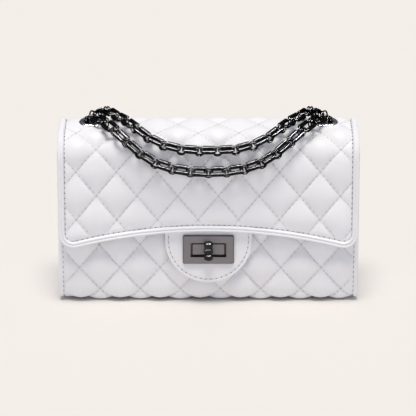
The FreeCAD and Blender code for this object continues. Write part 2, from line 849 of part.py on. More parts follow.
# Chain. A link is a rectangle of wire, long in local x and wide in local y, with stout long bars.

def wire_link():
    half_run = link_run / 2 - link_corner_radius
    half_span = link_span / 2 - link_corner_radius
    pieces = []
    for sx, sy, turn in ((1, 1, 0), (-1, 1, 90), (-1, -1, 180), (1, -1, 270)):
        corner = Vector(sx * half_run, sy * half_span, 0)
        bend = Part.makeTorus(link_corner_radius, wire_radius, Vector(0, 0, 0), Z_AXIS, 0, 360, 90)
        bend.rotate(Vector(0, 0, 0), Z_AXIS, turn)
        pieces.append(bend.translated(corner))
    for side in (-1, 1):
        bar_start = Vector(-link_bar_length / 2, side * (half_span + link_corner_radius), 0)
        span_start = Vector(side * (half_run + link_corner_radius), -half_span, 0)
        bar = Part.makeCylinder(link_bar / 2, link_bar_length, bar_start, X_AXIS)
        ends = [edge for edge in bar.Edges if edge.isClosed()]
        pieces.append(bar.makeFillet(link_bar_round, ends))
        pieces.append(Part.makeCylinder(wire_radius, 2 * half_span, span_start, Y_AXIS))
    return pieces[0].multiFuse(pieces[1:])


def ring(radius, wire, centre, normal):
    return Part.makeTorus(radius, wire / 2, centre, normal)


def square_to(vector, unit):
    """The part of a vector that is square to a unit vector, made a unit vector."""
    return (vector - unit * vector.dot(unit)).normalize()


def ring_pair(centre, width_axis):
    offsets = (-ring_offset, ring_offset)
    return [ring(ring_radius, ring_wire, centre + width_axis * offset, width_axis) for offset in offsets]


Strand = namedtuple("Strand", "start power width_heading")
front_strand = Strand(0, front_strand_power, front_width_heading)
back_strand = Strand(back_eyelet_distance, back_strand_power, back_width_heading)


def strand_point(x, strand, drop):
    """Point of a strand's line over the flap, with the flap's heading and normal there."""
    away = abs(x) / half_eyelet_spacing
    distance = strand.start + drop * (1 - away ** strand.power)
    lift = strand_lift + (pin_lift - strand_lift) * away ** (2 * strand.power)
    point, forwards, normal = flap_surface(distance)
    return Vector(x, 0, 0) + point + normal * lift, forwards, normal


def halve(low, high, is_low):
    """The value where a test that holds at the low end stops holding."""
    for step in range(halvings):
        middle = (low + high) / 2
        if is_low(middle):
            low = middle
        else:
            high = middle
    return low


def strand_stations(count, strand, drop):
    """Where the joints of half a strand lie across the bag, from the middle outwards."""
    def place(x):
        return strand_point(x, strand, drop)[0]

    def next_station(x):
        return halve(x, x + link_pitch, lambda s: (place(s) - place(x)).Length < link_pitch)

    middle = halve(0, link_pitch, lambda s: (place(s) - place(-s)).Length < link_pitch)
    stations = [middle if count % 2 else 0]
    while len(stations) < count // 2 + 1:
        stations.append(next_station(stations[-1]))
    return stations


def strand_joints(strand, drop_limit):
    """Joints of a whole strand: the most links that stay within a drop, and the drop that fits them."""
    pin = strand_point(half_eyelet_spacing, strand, drop_limit)[0]

    def is_slack(count, drop):
        end = strand_stations(count, strand, drop)[-1]
        if end > half_eyelet_spacing:
            return True
        return (strand_point(end, strand, drop)[0] - pin).Length < end_joint_reach

    count = 1
    while not is_slack(count + 1, drop_limit):
        count += 1
    drop = halve(0, drop_limit, lambda d: is_slack(count, d))
    right = strand_stations(count, strand, drop)
    left = [-x for x in reversed(right) if x > 0]
    return left + right, drop


def strand_frames(strand, drop_limit):
    """Joint points of a strand, and the middle and the three axes of each of its links.

    A link's width keeps to one heading, but where that would press it into the flap it lies flat.
    """
    stations, drop = strand_joints(strand, drop_limit)
    joints = [strand_point(x, strand, drop) for x in stations]
    frames = []
    for index in range(len(joints) - 1):
        start, start_forwards, start_normal = joints[index]
        end, end_forwards, end_normal = joints[index + 1]
        along = (end - start).normalize()
        normal = square_to(start_normal + end_normal, along)
        x = (stations[index] + stations[index + 1]) / 2
        outwards = normal.cross(along)
        if outwards.dot(start_forwards + end_forwards + X_AXIS * (x / half_eyelet_spacing)) < 0:
            outwards = -outwards
        width_way = heading(strand.width_heading)
        wanted_tilt = math.atan2(width_way.dot(outwards), width_way.dot(normal))
        tilt = min(wanted_tilt % math.tau, math.radians(flat_tilt))
        width_axis = normal * math.cos(tilt) + outwards * math.sin(tilt)
        hang_axis = outwards * math.cos(tilt) - normal * math.sin(tilt)
        frames.append(((start + end) * 0.5, along, width_axis, hang_axis))
    return [joint[0] for joint in joints], frames


def back_drop_limit():
    """Drop that keeps the back strand's middle a gap above the front strand's."""
    _, front_drop = strand_joints(front_strand, front_drop_limit)
    return front_drop - back_strand.start - strand_gap


def make_strand(name, strand, drop_limit):
    """Links, ring pairs and end rings of one strand, from the left eyelet to the right one."""
    joints, frames = strand_frames(strand, drop_limit)
    link = wire_link()
    links = []
    for middle, along, width_axis, _ in frames:
        placed = link.copy()
        placed.Placement = placement_of(middle, along, width_axis)
        links.append(placed)
    save(name + "_links", *links)

    rings = []
    for index in range(len(frames) - 1):
        _, _, width_axis, hang_axis = frames[index]
        _, _, next_width_axis, next_hang_axis = frames[index + 1]
        shared_width = (width_axis + next_width_axis).normalize()
        shared_hang = square_to(hang_axis + next_hang_axis, shared_width)
        rings += ring_pair(joints[index + 1] + shared_hang * ring_hang, shared_width)
    save(name + "_rings", *rings)

    end_rings = []
    for side, frame in ((-1, frames[0]), (1, frames[-1])):
        middle, along, width_axis, _ = frame
        pin = strand_point(side * half_eyelet_spacing, strand, drop_limit)[0]
        bar = middle + along * (side * link_run / 2)
        facing = width_axis if width_axis.x > 0 else -width_axis
        normal = square_to(facing + X_AXIS, (bar - pin).normalize())
        centre = pin + (bar - pin) * end_ring_place_share
        end_rings.append(ring(end_ring_radius, end_ring_wire, centre, normal))
    save(name + "_end_rings", *end_rings)


def through_link_ends(distance):
    """Middles of the outer and inner end bars of the link that passes through an eyelet."""
    point, _, normal = flap_surface(distance)
    pin = point + normal * pin_lift
    return pin, pin - normal * link_run


def make_inner_chain():
    """The links through the eyelets, and on each side two links that join them inside the bag."""
    front_pin, front_bar = through_link_ends(0)
    back_pin, back_bar = through_link_ends(back_eyelet_distance)
    half_reach = bar_gap + link_run + inner_bar_reach
    middle = (front_bar + back_bar) * 0.5
    span = back_bar - front_bar
    sag = math.sqrt(half_reach ** 2 - (span.Length / 2) ** 2)
    hang = X_AXIS.cross(span).normalize()
    if hang.z > 0:
        hang = -hang
    lowest = middle + hang * sag
    link = wire_link()
    through, inner, rings = [], [], []
    for side in (-1, 1):
        shift = X_AXIS * (side * half_eyelet_spacing)
        for pin, bar in ((front_pin, front_bar), (back_pin, back_bar)):
            placed = link.copy()
            placed.Placement = placement_of((pin + bar) * 0.5 + shift, (pin - bar).normalize(), X_AXIS)
            through.append(placed)
            along = (lowest - bar).normalize()
            placed = link.copy()
            placed.Placement = placement_of(bar + along * (bar_gap + link_run / 2) + shift, along, X_AXIS)
            inner.append(placed)
            rings += ring_pair(bar + along * (bar_gap / 2) + shift, X_AXIS)
        rings += ring_pair(lowest - hang * (inner_bar_reach * sag / half_reach) + shift, X_AXIS)
    save("through_links", *through)
    save("inner_links", *inner)
    save("inner_rings", *rings)


def main():
    os.makedirs("parts", exist_ok=True)
    make_body()
    make_lock()
    make_flap()
    make_eyelets()
    make_inner_chain()
    make_strand("front_chain", front_strand, front_drop_limit)
    make_strand("back_chain", back_strand, back_drop_limit())


main()
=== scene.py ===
import json
import math

import bmesh
import bpy
import numpy as np
from mathutils import Matrix, Vector


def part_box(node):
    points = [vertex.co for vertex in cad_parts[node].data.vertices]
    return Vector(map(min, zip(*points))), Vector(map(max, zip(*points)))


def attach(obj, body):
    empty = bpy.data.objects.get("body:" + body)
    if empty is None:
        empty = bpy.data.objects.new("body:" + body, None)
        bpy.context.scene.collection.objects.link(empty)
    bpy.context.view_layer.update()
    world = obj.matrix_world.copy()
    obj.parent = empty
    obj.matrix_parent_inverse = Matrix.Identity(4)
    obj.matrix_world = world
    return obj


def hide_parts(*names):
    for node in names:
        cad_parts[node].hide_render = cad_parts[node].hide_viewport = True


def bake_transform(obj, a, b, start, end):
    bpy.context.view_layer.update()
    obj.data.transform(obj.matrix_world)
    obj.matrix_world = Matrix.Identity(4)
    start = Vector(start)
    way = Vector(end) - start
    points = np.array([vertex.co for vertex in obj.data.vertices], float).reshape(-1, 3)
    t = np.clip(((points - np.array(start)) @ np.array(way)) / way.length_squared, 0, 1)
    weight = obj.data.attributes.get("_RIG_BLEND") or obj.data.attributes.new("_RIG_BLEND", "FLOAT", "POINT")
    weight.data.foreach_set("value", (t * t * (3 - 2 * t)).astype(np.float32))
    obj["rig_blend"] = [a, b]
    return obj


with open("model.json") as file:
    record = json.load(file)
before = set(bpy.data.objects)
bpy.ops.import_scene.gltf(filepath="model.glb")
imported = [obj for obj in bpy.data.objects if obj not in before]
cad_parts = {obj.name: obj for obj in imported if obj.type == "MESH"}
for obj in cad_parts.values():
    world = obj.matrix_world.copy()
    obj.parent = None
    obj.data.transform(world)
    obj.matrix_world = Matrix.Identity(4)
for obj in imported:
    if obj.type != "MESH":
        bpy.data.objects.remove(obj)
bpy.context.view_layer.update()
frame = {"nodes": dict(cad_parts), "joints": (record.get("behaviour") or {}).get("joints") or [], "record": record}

bl_info = {
    "name": "Chain shoulder bag",
    "version": (1, 0, 0),
    "blender": (4, 5, 0),
    "location": "View3D > Sidebar > Shoulder bag",
    "description": "Quilted leather, lining, stitching, metal finishes and a studio for the shoulder bag",
    "category": "Object",
}

MM = 0.001
JOINT_PLACES = {joint["name"]: Vector(joint["pos_m"]) for joint in frame["joints"]}
HINGE = JOINT_PLACES["flap_hinge"]
LOCK = JOINT_PLACES["knob_turn"]
FRONT_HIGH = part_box("front_panel")[1]
BACK_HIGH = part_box("back_panel")[1]
BASE_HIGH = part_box("base_panel")[1]
EYELETS = [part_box("eyelet_" + place) for place in ("front_left", "front_right", "back_left", "back_right")]


# Settings that a user may change

def setting(name, description, default, **kind):
    """A property with one number, or with several where its default has several."""
    make = bpy.props.FloatVectorProperty if isinstance(default, tuple) else bpy.props.FloatProperty
    return make(name=name, description=description, default=default, **kind)


def size(name, description, default, **kind):
    return setting(name, description, default, unit="LENGTH", **kind)


def tint(name, description, default):
    return setting(name, description, default, subtype="COLOR")


def angle(name, description, degrees):
    return setting(name, description, math.radians(degrees), subtype="ANGLE")


class QuiltSizes(bpy.types.PropertyGroup):
    """Sizes of the quilting and its stitching."""
    diamond_width: size("Diamond width", "Distance across between two crossings of the seams", 0.0352)
    diamond_height: size("Diamond height", "Distance along the leather between two crossings", 0.0424)
    depth: size("Seam depth", "How deep the seams lie under the crowns of the padding", 0.0042)
    fullness: setting("Fullness", "Power of the padding's rounding; lower is fuller", 0.62)
    cells: bpy.props.IntProperty(name="Cells", description="Mesh cells across one diamond", default=24)
    pucker: size("Pucker", "Depth of the dimples that the needle leaves", 0.00028)
    stitches_a_side: bpy.props.IntProperty(
        name="Stitches a side", description="Stitches along one side of a diamond", default=6)
    stitch_length: size("Stitch length", "Length of thread that shows", 0.0031)
    thread: size("Thread", "Thickness of the thread", 0.0007)
    hole: size("Needle hole", "Width of a needle hole in the quilting", 0.00066)
    edge_hole: size(
        "Edge hole", "Length and width of a needle hole in the edge seams", (0.0017, 0.0009), size=2)
    seam_margin: size("Side seam", "Distance of the side seams from the panel's edge", 0.004)


class BagColours(bpy.types.PropertyGroup):
    """Colours of the bag's finishes."""
    leather: tint("Leather", "Colour of the leather", (0.896, 0.900, 0.940))
    # Painted shade: the colour that the leather takes in its seams stands in for the shade there.
    painted_seam_shade: tint("Leather in seams", "Colour of the leather in its seams", (0.875, 0.876, 0.912))
    thread: tint("Thread", "Colour of the thread", (0.80, 0.79, 0.79))
    # Painted shade: dark specks put in the needle holes stand in for the shade inside them.
    hole: tint("Needle hole", "Colour inside the needle holes", (0.25, 0.24, 0.24))
    lining: tint("Lining", "Colour of the woven lining", (0.50, 0.48, 0.455))
    chain: tint("Chain", "Colour of the polished gunmetal", (0.014, 0.014, 0.015))
    plate: tint("Lock plate", "Colour of the satin gunmetal", (0.268, 0.252, 0.264))
    knob: tint("Knob", "Colour of the black knob", (0.010, 0.010, 0.011))
    steel: tint("Inner steel", "Colour of the hidden fastenings", (0.42, 0.42, 0.42))
    board: tint("Board", "Colour of the stiffening board", (0.42, 0.35, 0.26))


class StudioSettings(bpy.types.PropertyGroup):
    """The camera, the floor and the lights."""
    elevation: angle("Camera elevation", "Angle of the camera above the floor", 18)
    distance: size("Camera distance", "Distance from the camera to the point it looks at", 2.2)
    frame_width: size("Frame width", "Width of the picture at the point looked at", 0.3605)
    target: setting(
        "Target", "Point that the camera looks at", (-0.0004, -0.040, 0.0883), subtype="TRANSLATION")
    floor: tint("Floor", "Colour of the floor", (0.815, 0.790, 0.768))
    sky_high: tint("Sky overhead", "Light of the white ceiling", (0.47, 0.475, 0.51))
    sky_low: tint("Sky at the sides", "Light of the room's walls", (0.45, 0.48, 0.555))
    sun_elevation: angle("Lamp elevation", "Height of the main lamp above the floor, in front", 75)
    sun_size: angle("Lamp size", "Angle across the main lamp, which softens its shadows", 26)
    sun_strength: setting("Lamp strength", "Strength of the main lamp", 2.1)
    sun_colour: tint("Lamp colour", "Colour of the main lamp", (1.0, 0.945, 0.84))
    strip_power: setting(
        "Strip power", "Power of the two narrow lights that the metal reflects", 18.0, unit="POWER")
    tube_power: setting(
        "Tube power", "Power of the long tube that draws highlights on the chain", 620.0, unit="POWER")


def quilt_sizes():
    return bpy.context.scene.bag_quilt


def colours():
    return bpy.context.scene.bag_colours


# Lengthwise lines of the bag, in the plane x = 0

def unit(bearing):
    """Unit vectors at an array of angles."""
    return np.stack((np.cos(bearing), np.sin(bearing)), -1)


def chord(length, turn):
    """Straight distance between the ends of an arc of a given length and turn."""
    return length * np.sinc(turn / 2 / np.pi)


class Profile:
    """A line of straight runs and arcs in the plane x = 0, measured along its length."""

    def __init__(self, start, heading, side):
        self.runs = []
        self.point = np.array(start, float)
        self.heading = math.radians(heading)
        self.side = side
        self.length = 0.0

    def run(self, length, turn=0.0):
        """Add a straight run, or an arc where it turns."""
        self.runs.append((self.length, length, self.point, self.heading, turn / length))
        self.point = self.point + chord(length, turn) * unit(self.heading + turn / 2)
        self.heading += turn
        self.length += length

    def bend(self, radius, degrees):
        turn = math.radians(degrees)
        self.run(abs(turn) * radius, turn)

    def place(self, distance):
        """Points, headings and outward normals at an array of distances along the line."""
        start, _, point, heading, curve = (np.array(values) for values in zip(*self.runs))
        run = np.clip(np.searchsorted(start, distance, "right") - 1, 0, None)
        past = distance - start[run]
        turn = curve[run] * past
        points = point[run] + chord(past, turn)[..., None] * unit(heading[run] + turn / 2)
        headings = heading[run] + turn
        return points, headings, unit(headings + self.side * np.pi / 2)

    def surface(self, across, along, depth):
        """Points in space at distances across and along the line, a depth under it."""
        points, _, normals = self.place(along)
        return np.concatenate((across[..., None], points - normals * depth[..., None]), -1)


PANEL_LEAN = 3.5
LEAN = math.radians(PANEL_LEAN)
PANEL = 5.0 * MM
WALL = 7.0 * MM
HALF_BODY = FRONT_HIGH.x
MOUTH_HALF = 33.3 * MM
FRONT_TOP = FRONT_HIGH.z
BACK_TOP = BACK_HIGH.z
BELLY_RADIUS = 110.0 * MM
BELLY_TURN = 14.0
EDGE_RADIUS = 9.0 * MM
FLAP_TOTAL = 5.8 * MM
FLAP_STANDOFF = 3.0 * MM
FLAP_RISE = 157.2 * MM
FLAP_TILT = 5.0
FLAP_SLOPE = 55.0
FLAP_FRONT_RADIUS = 25.974 * MM
FLAP_BACK_RADIUS = 14.985 * MM
ROOT_GAP = 1.8 * MM


def direction(degrees):
    return unit(math.radians(degrees))


def body_profile(inset=0.0):
    """The wall from the front's top edge round the base to the back's, at a depth inside its face."""
    start = np.array((-MOUTH_HALF, FRONT_TOP)) + direction(-PANEL_LEAN) * inset
    start[0] -= (FRONT_TOP - start[1]) * math.tan(LEAN)
    start[1] = FRONT_TOP
    belly_end = EDGE_RADIUS * (1 - math.sin(math.radians(BELLY_TURN)))
    belly_centre = belly_end + BELLY_RADIUS * math.sin(math.radians(BELLY_TURN))
    belly_top = belly_centre + (BELLY_RADIUS - inset) * math.sin(LEAN)
    profile = Profile(start, 270 - PANEL_LEAN, -1)
    profile.run((FRONT_TOP - belly_top) / math.cos(LEAN))
    profile.bend(BELLY_RADIUS - inset, BELLY_TURN + PANEL_LEAN)
    profile.bend(EDGE_RADIUS - inset, 90 - BELLY_TURN)
    profile.run(2 * BASE_HIGH.y)
    profile.bend(EDGE_RADIUS - inset, 90 - BELLY_TURN)
    profile.bend(BELLY_RADIUS - inset, BELLY_TURN + PANEL_LEAN)
    profile.run((BACK_TOP - belly_top) / math.cos(LEAN))
    return profile


def crossing(point, along, other, other_along):
    gap = other - point
    scale = along[0] * other_along[1] - along[1] * other_along[0]
    return point + along * ((gap[0] * other_along[1] - gap[1] * other_along[0]) / scale)


def flap_profile():
    """The flap's outer face, from the height of the lock up the front, over the top and down to the seam."""
    front_heading = 90 - PANEL_LEAN
    out = direction(front_heading + 90)
    front_point = np.array((LOCK.y, LOCK.z)) + out * (FLAP_STANDOFF + FLAP_TOTAL)
    top_point = np.array((0.0, FLAP_RISE))
    back_point = np.array((HINGE.y, HINGE.z)) + direction(90 - FLAP_SLOPE) * (FLAP_TOTAL / 2)
    front_corner = crossing(front_point, direction(front_heading), top_point, direction(FLAP_TILT))
    back_corner = crossing(top_point, direction(FLAP_TILT), back_point, direction(-FLAP_SLOPE))
    front_tangent = FLAP_FRONT_RADIUS * math.tan(math.radians((front_heading - FLAP_TILT) / 2))
    back_tangent = FLAP_BACK_RADIUS * math.tan(math.radians((FLAP_TILT + FLAP_SLOPE) / 2))
    profile = Profile(front_point, front_heading, 1)
    profile.run(np.linalg.norm(front_corner - front_point) - front_tangent)
    profile.bend(FLAP_FRONT_RADIUS, FLAP_TILT - front_heading)
    profile.run(np.linalg.norm(back_corner - front_corner) - front_tangent - back_tangent)
    profile.bend(FLAP_BACK_RADIUS, -FLAP_SLOPE - FLAP_TILT)
    profile.run(np.linalg.norm(back_point - back_corner) - back_tangent - ROOT_GAP)
    return profile


BODY = body_profile()
FLAP = flap_profile()
FLAP_LOW = FLAP.runs[0][2][1]


def flap_along(height):
    """Place along the flap of a height on its flat front."""
    return (height - FLAP_LOW) / math.cos(LEAN)


FLAP_HALF = 130.0 * MM
FLAP_FOOT = flap_along(48 * MM)
ARCH_RADIUS = 470.0 * MM
ARCH_CENTRE = 68.0 * MM - ARCH_RADIUS
CORNER_RADIUS = 12.5 * MM
CORNER_X = FLAP_HALF - CORNER_RADIUS
CORNER_Z = ARCH_CENTRE + math.sqrt((ARCH_RADIUS + CORNER_RADIUS) ** 2 - CORNER_X ** 2)
BINDING_WIDTH = 5.0 * MM


def flap_edge_distance(across, along):
    """Distance inside the flap's outline: straight sides, rounded corners and an arched lower edge."""
    x, z = np.abs(across), FLAP_LOW + along * math.cos(LEAN)
    from_sides = np.minimum(FLAP_HALF - x, np.hypot(x, z - ARCH_CENTRE) - ARCH_RADIUS)
    dx, dz = x - CORNER_X, z - CORNER_Z
    in_corner = (dz < 0) & (dz * -CORNER_X > dx * (ARCH_CENTRE - CORNER_Z))
    return np.where(in_corner, CORNER_RADIUS - np.hypot(dx, dz), from_sides)


def flap_outline(inset, steps=12):
    """Points of the flap's outline, from the left root round the front edge to the right root."""
    to_arch = math.atan2(ARCH_CENTRE - CORNER_Z, -CORNER_X)
    radius = CORNER_RADIUS - inset
    corner = [(CORNER_X + radius * math.cos(a), CORNER_Z + radius * math.sin(a))
              for a in np.linspace(0, to_arch, steps)]
    end_x = corner[-1][0]
    arch = [(x, ARCH_CENTRE + math.sqrt((ARCH_RADIUS + inset) ** 2 - x ** 2))
            for x in np.linspace(end_x, 0, 4 * steps)[1:]]
    right = [(x, flap_along(z)) for x, z in corner + arch]
    side = [(FLAP_HALF - inset, a) for a in np.linspace(FLAP.length, right[0][1], 6 * steps)[:-1]]
    half = np.array(side + right)
    left = half[:-1] * (-1, 1)
    return np.concatenate((left, half[::-1]))


def even_path(points, spacing):
    """The same path with points a given distance apart, and its unit directions."""
    lengths = np.concatenate(([0], np.cumsum(np.linalg.norm(np.diff(points, axis=0), axis=1))))
    count = max(2, int(round(lengths[-1] / spacing)) + 1)
    at = np.linspace(0, lengths[-1], count)
    even = np.stack([np.interp(at, lengths, points[:, k]) for k in range(points.shape[1])], -1)
    ways = np.gradient(even, axis=0)
    return even, ways / np.linalg.norm(ways, axis=1)[:, None]


# Quilting

LEAST_PUFF = 0.93
DIMPLE_REACH = 2.2 * MM
SEAM_SHADE_REACH = 0.45 * MM
END_FADE = 5.0 * MM
SIDE_FADE = 4.5 * MM
SIDE_ROLL = 1.5 * MM
ROLL_SHADE = 0.6
EDGE_FADE = 4.0 * MM
SEAT_RADIUS = 10.3 * MM
SEAT_FADE = 6 * MM
SEAT_DEPTH = 0.1 * MM
BODY_CROSSING = (10.5 * MM, 53.2 * MM)
FLAP_CROSSING = (-9.0 * MM, 78.6 * MM)


def smooth(value):
    value = np.clip(value, 0, 1)
    return value * value * (3 - 2 * value)


def fade(distance, reach):
    """A share that rises from 0 at an edge towards 1 inside it."""
    return 1 - np.exp(-np.clip(distance, 0, None) / reach)


def random_share(first, second):
    """A fixed share from 0 to 1 for each diamond."""
    return np.mod(np.sin(first * 12.9898 + second * 78.233) * 43758.5453, 1.0)


class Quilt:
    """Diamond quilting with a crossing of its seams at one point."""

    def __init__(self, across, along):
        self.sizes = quilt_sizes()
        self.across, self.along = across, along
        self.width, self.height = self.sizes.diamond_width, self.sizes.diamond_height
        self.side = math.hypot(self.width, self.height) / 2
        self.gap = self.width * self.height / (2 * self.side)

    def face(self, across, along, inside):
        """Height of the puffed and puckered face over its seams, less towards the edges."""
        first = (across - self.across) / self.width
        second = (along - self.along) / self.height
        a, b = first + second, first - second
        from_a, from_b = np.abs(a - np.round(a)), np.abs(b - np.round(b))
        rise = (np.sin(np.pi * from_a) * np.sin(np.pi * from_b)) ** self.sizes.fullness
        rise = rise * (LEAST_PUFF + (1 - LEAST_PUFF) * random_share(np.floor(a), np.floor(b)))
        waves = 2 * np.pi * self.sizes.stitches_a_side
        dimple = (np.exp(-from_a * self.gap / DIMPLE_REACH) * np.cos(waves * b)
                  + np.exp(-from_b * self.gap / DIMPLE_REACH) * np.cos(waves * a))
        return (self.sizes.depth * rise - self.sizes.pucker * dimple) * inside

    def seams(self, low, high):
        """Middles and directions of the stitches along every seam within a box."""
        step = self.side / self.sizes.stitches_a_side
        lines = math.ceil((high[0] - low[0]) / self.width + (high[1] - low[1]) / self.height) + 2
        reach = int((high[1] - low[1] + self.height) / step) + 4
        line, stitch = (grid.ravel() for grid in np.mgrid[-lines:lines + 1, -reach:reach])
        start = np.stack((self.across + line * self.width, np.full(len(line), self.along)), -1)
        places, ways = [], []
        for sign in (1, -1):
            way = np.array((sign * self.width / 2, self.height / 2)) / self.side
            points = start + way * ((stitch + 0.5) * step)[:, None]
            points = points[np.all((points >= low) & (points <= high), axis=1)]
            places.append(points)
            ways.append(np.tile(way, (len(points), 1)))
        return np.concatenate(places), np.concatenate(ways)


def body_quilt():
    across, height = BODY_CROSSING
    return Quilt(across, (FRONT_TOP - height) / math.cos(LEAN))


def flap_quilt():
    across, height = FLAP_CROSSING
    return Quilt(across, flap_along(height))


def body_depth(across, along):
    """Depth of the wrap's outer face under its crowns, and the share of painted shade in its seams at each point.
    """
    sizes = quilt_sizes()
    from_side = HALF_BODY - np.abs(across)
    margin = sizes.seam_margin
    inside = fade(from_side - margin, SIDE_FADE) * fade(np.minimum(along, BODY.length - along), END_FADE)
    roll = np.sqrt(np.clip(1 - ((from_side - margin / 2) / (margin / 2)) ** 2, 0, 1))
    height = np.where(from_side < margin, SIDE_ROLL * roll, body_quilt().face(across, along, inside))
    return sizes.depth - height, (1 - fade(height, SEAM_SHADE_REACH)) * (from_side > ROLL_SHADE * margin)


def eyelet_along(centre):
    """Place along the flap of an eyelet's centre: the nearest point of the profile."""
    spread = np.linspace(0, FLAP.length, 2000)
    points, _, _ = FLAP.place(spread)
    return spread[np.argmin(np.hypot(points[:, 0] - centre.y, points[:, 1] - centre.z))]


def eyelet_distance(across, along):
    """Distance along the leather from the nearest eyelet's centre."""
    nearest = np.full(np.shape(across), 1.0)
    for low, high in EYELETS:
        centre = (low + high) / 2
        nearest = np.minimum(nearest, np.hypot(across - centre.x, along - eyelet_along(centre)))
    return nearest


def flap_depth(across, along):
    """Depth of the flap's outer face under its crowns, and the share of painted shade in its seams at each point.
    """
    depth = quilt_sizes().depth
    from_edge = flap_edge_distance(across, along) - BINDING_WIDTH
    inside = fade(from_edge, EDGE_FADE) * fade(FLAP.length - along, END_FADE)
    seat = smooth(1 - (eyelet_distance(across, along) - SEAT_RADIUS) / SEAT_FADE)
    height = flap_quilt().face(across, along, inside) * (1 - seat) + (depth - SEAT_DEPTH) * seat
    return depth - height, 1 - fade(height, SEAM_SHADE_REACH)


QUILTED = {"body": (BODY, body_depth), "flap": (FLAP, flap_depth)}


def on_flap(edge_gap, eyelet_gap):
    """A test for points of the flap that lie clear of its edge and of its eyelets."""
    def kept(x, u):
        return (flap_edge_distance(x, u) > edge_gap) & (eyelet_distance(x, u) > eyelet_gap)
    return kept


# Mesh building

SHARP_EDGE = math.radians(50)
MEASURES = ("across", "along", "inner")


def grid_lines(low, high, origin, step):
    """Grid lines a step apart that pass through an origin, with the two outer lines on the limits."""
    first = int(round((low - origin) / step))
    last = int(round((high - origin) / step))
    lines = origin + step * np.arange(first, last + 1)
    lines[0], lines[-1] = low, high
    return lines


def flat_grid(columns, rows):
    """A flat grid as a bmesh, with the column and the row of each vertex."""
    bm = bmesh.new()
    bmesh.ops.create_grid(bm, x_segments=columns, y_segments=rows, size=0.5)
    spots = np.array([v.co for v in bm.verts]) + 0.5
    return bm, np.rint(spots[:, 0] * columns).astype(int), np.rint(spots[:, 1] * rows).astype(int)


def doubled(bm):
    """Give a sheet its inner side; the new vertices are returned."""
    made = bmesh.ops.extrude_face_region(bm, geom=bm.faces[:], use_keep_orig=True)
    return [v for v in made["geom"] if isinstance(v, bmesh.types.BMVert)]


def grid_sheet(across, along, kept=None, closed=True):
    """A grid with its place across and along kept in layers; closed doubles it into a thin body."""
    bm, column, row = flat_grid(len(across) - 1, len(along) - 1)
    for name, values in zip(MEASURES, (across[column], along[row], np.zeros(len(row)))):
        set_layer(bm, name, values)
    if kept:
        x, u, _ = measures(bm)
        bm.verts.index_update()
        corners = np.array([[v.index for v in f.verts] for f in bm.faces])
        inside = kept(x[corners].mean(axis=1), u[corners].mean(axis=1))
        bmesh.ops.delete(bm, geom=[f for f, keep in zip(bm.faces[:], inside) if not keep], context="FACES")
    if closed:
        inner = bm.verts.layers.float["inner"]
        for v in doubled(bm):
            v[inner] = 1.0
    return bm


def measures(bm):
    """The place of each vertex across and along its sheet, and 1 where it is on the inner side."""
    layers = [bm.verts.layers.float[name] for name in MEASURES]
    return [np.array([v[layer] for v in bm.verts]) for layer in layers]


def set_layer(bm, name, values):
    layer = bm.verts.layers.float.get(name) or bm.verts.layers.float.new(name)
    for v, value in zip(bm.verts, values):
        v[layer] = float(value)


def put(bm, points):
    for v, point in zip(bm.verts, points):
        v.co = point


def weave_map(bm):
    """A UV map in metres from the sheet's own measure, for a weave that follows the surface."""
    uv = bm.loops.layers.uv.new("measure")
    across, along = (bm.verts.layers.float[name] for name in MEASURES[:2])
    for face in bm.faces:
        for loop in face.loops:
            loop[uv].uv = (loop.vert[across], loop.vert[along])


def finish_piece(bm, name, materials, body, replaced=(), fix_normals=True):
    """Turn a bmesh into a piece that rides on a body of the bag."""
    if fix_normals:
        bmesh.ops.recalc_face_normals(bm, faces=bm.faces[:])
    mesh = bpy.data.meshes.new(name)
    bm.to_mesh(mesh)
    bm.free()
    for helper in (*MEASURES, "number"):
        if helper in mesh.attributes:
            mesh.attributes.remove(mesh.attributes[helper])
    mesh.shade_smooth()
    mesh.set_sharp_from_angle(angle=SHARP_EDGE)
    for material in materials:
        mesh.materials.append(material)
    piece = bpy.data.objects.new(name, mesh)
    bpy.context.scene.collection.objects.link(piece)
    if body:
        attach(piece, body)
    if replaced:
        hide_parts(*replaced)
    return piece


def rounded_section(points, count):
    """A closed smooth line through a list of points in millimetres."""
    points = np.array(points, float)
    total = len(points)
    spread = np.linspace(0, total, count, endpoint=False)
    base = np.floor(spread).astype(int)
    t = (spread - base)[:, None]
    p0, p1, p2, p3 = (points[(base + k) % total] for k in (-1, 0, 1, 2))
    return 0.5 * (2 * p1 + (p2 - p0) * t + (2 * p0 - 5 * p1 + 4 * p2 - p3) * t ** 2
                  + (3 * p1 - p0 - 3 * p2 + p3) * t ** 3) * MM


def swept(section, count, place):
    """A capped tube: a section repeated at a count of stations, each point put in its place by a function."""
    bm, column, station = flat_grid(len(section), count - 1)
    put(bm, place(*section[column % len(section)].T, station))
    bmesh.ops.remove_doubles(bm, verts=bm.verts[:], dist=0.000001)
    bmesh.ops.holes_fill(bm, edges=[e for e in bm.edges if e.is_boundary], sides=0)
    return bm


# Finishes

def set_constants(node, values):
    for key, value in values.items():
        if hasattr(node, key):
            setattr(node, key, value)
        else:
            node.inputs[key.replace("_", " ")].default_value = value


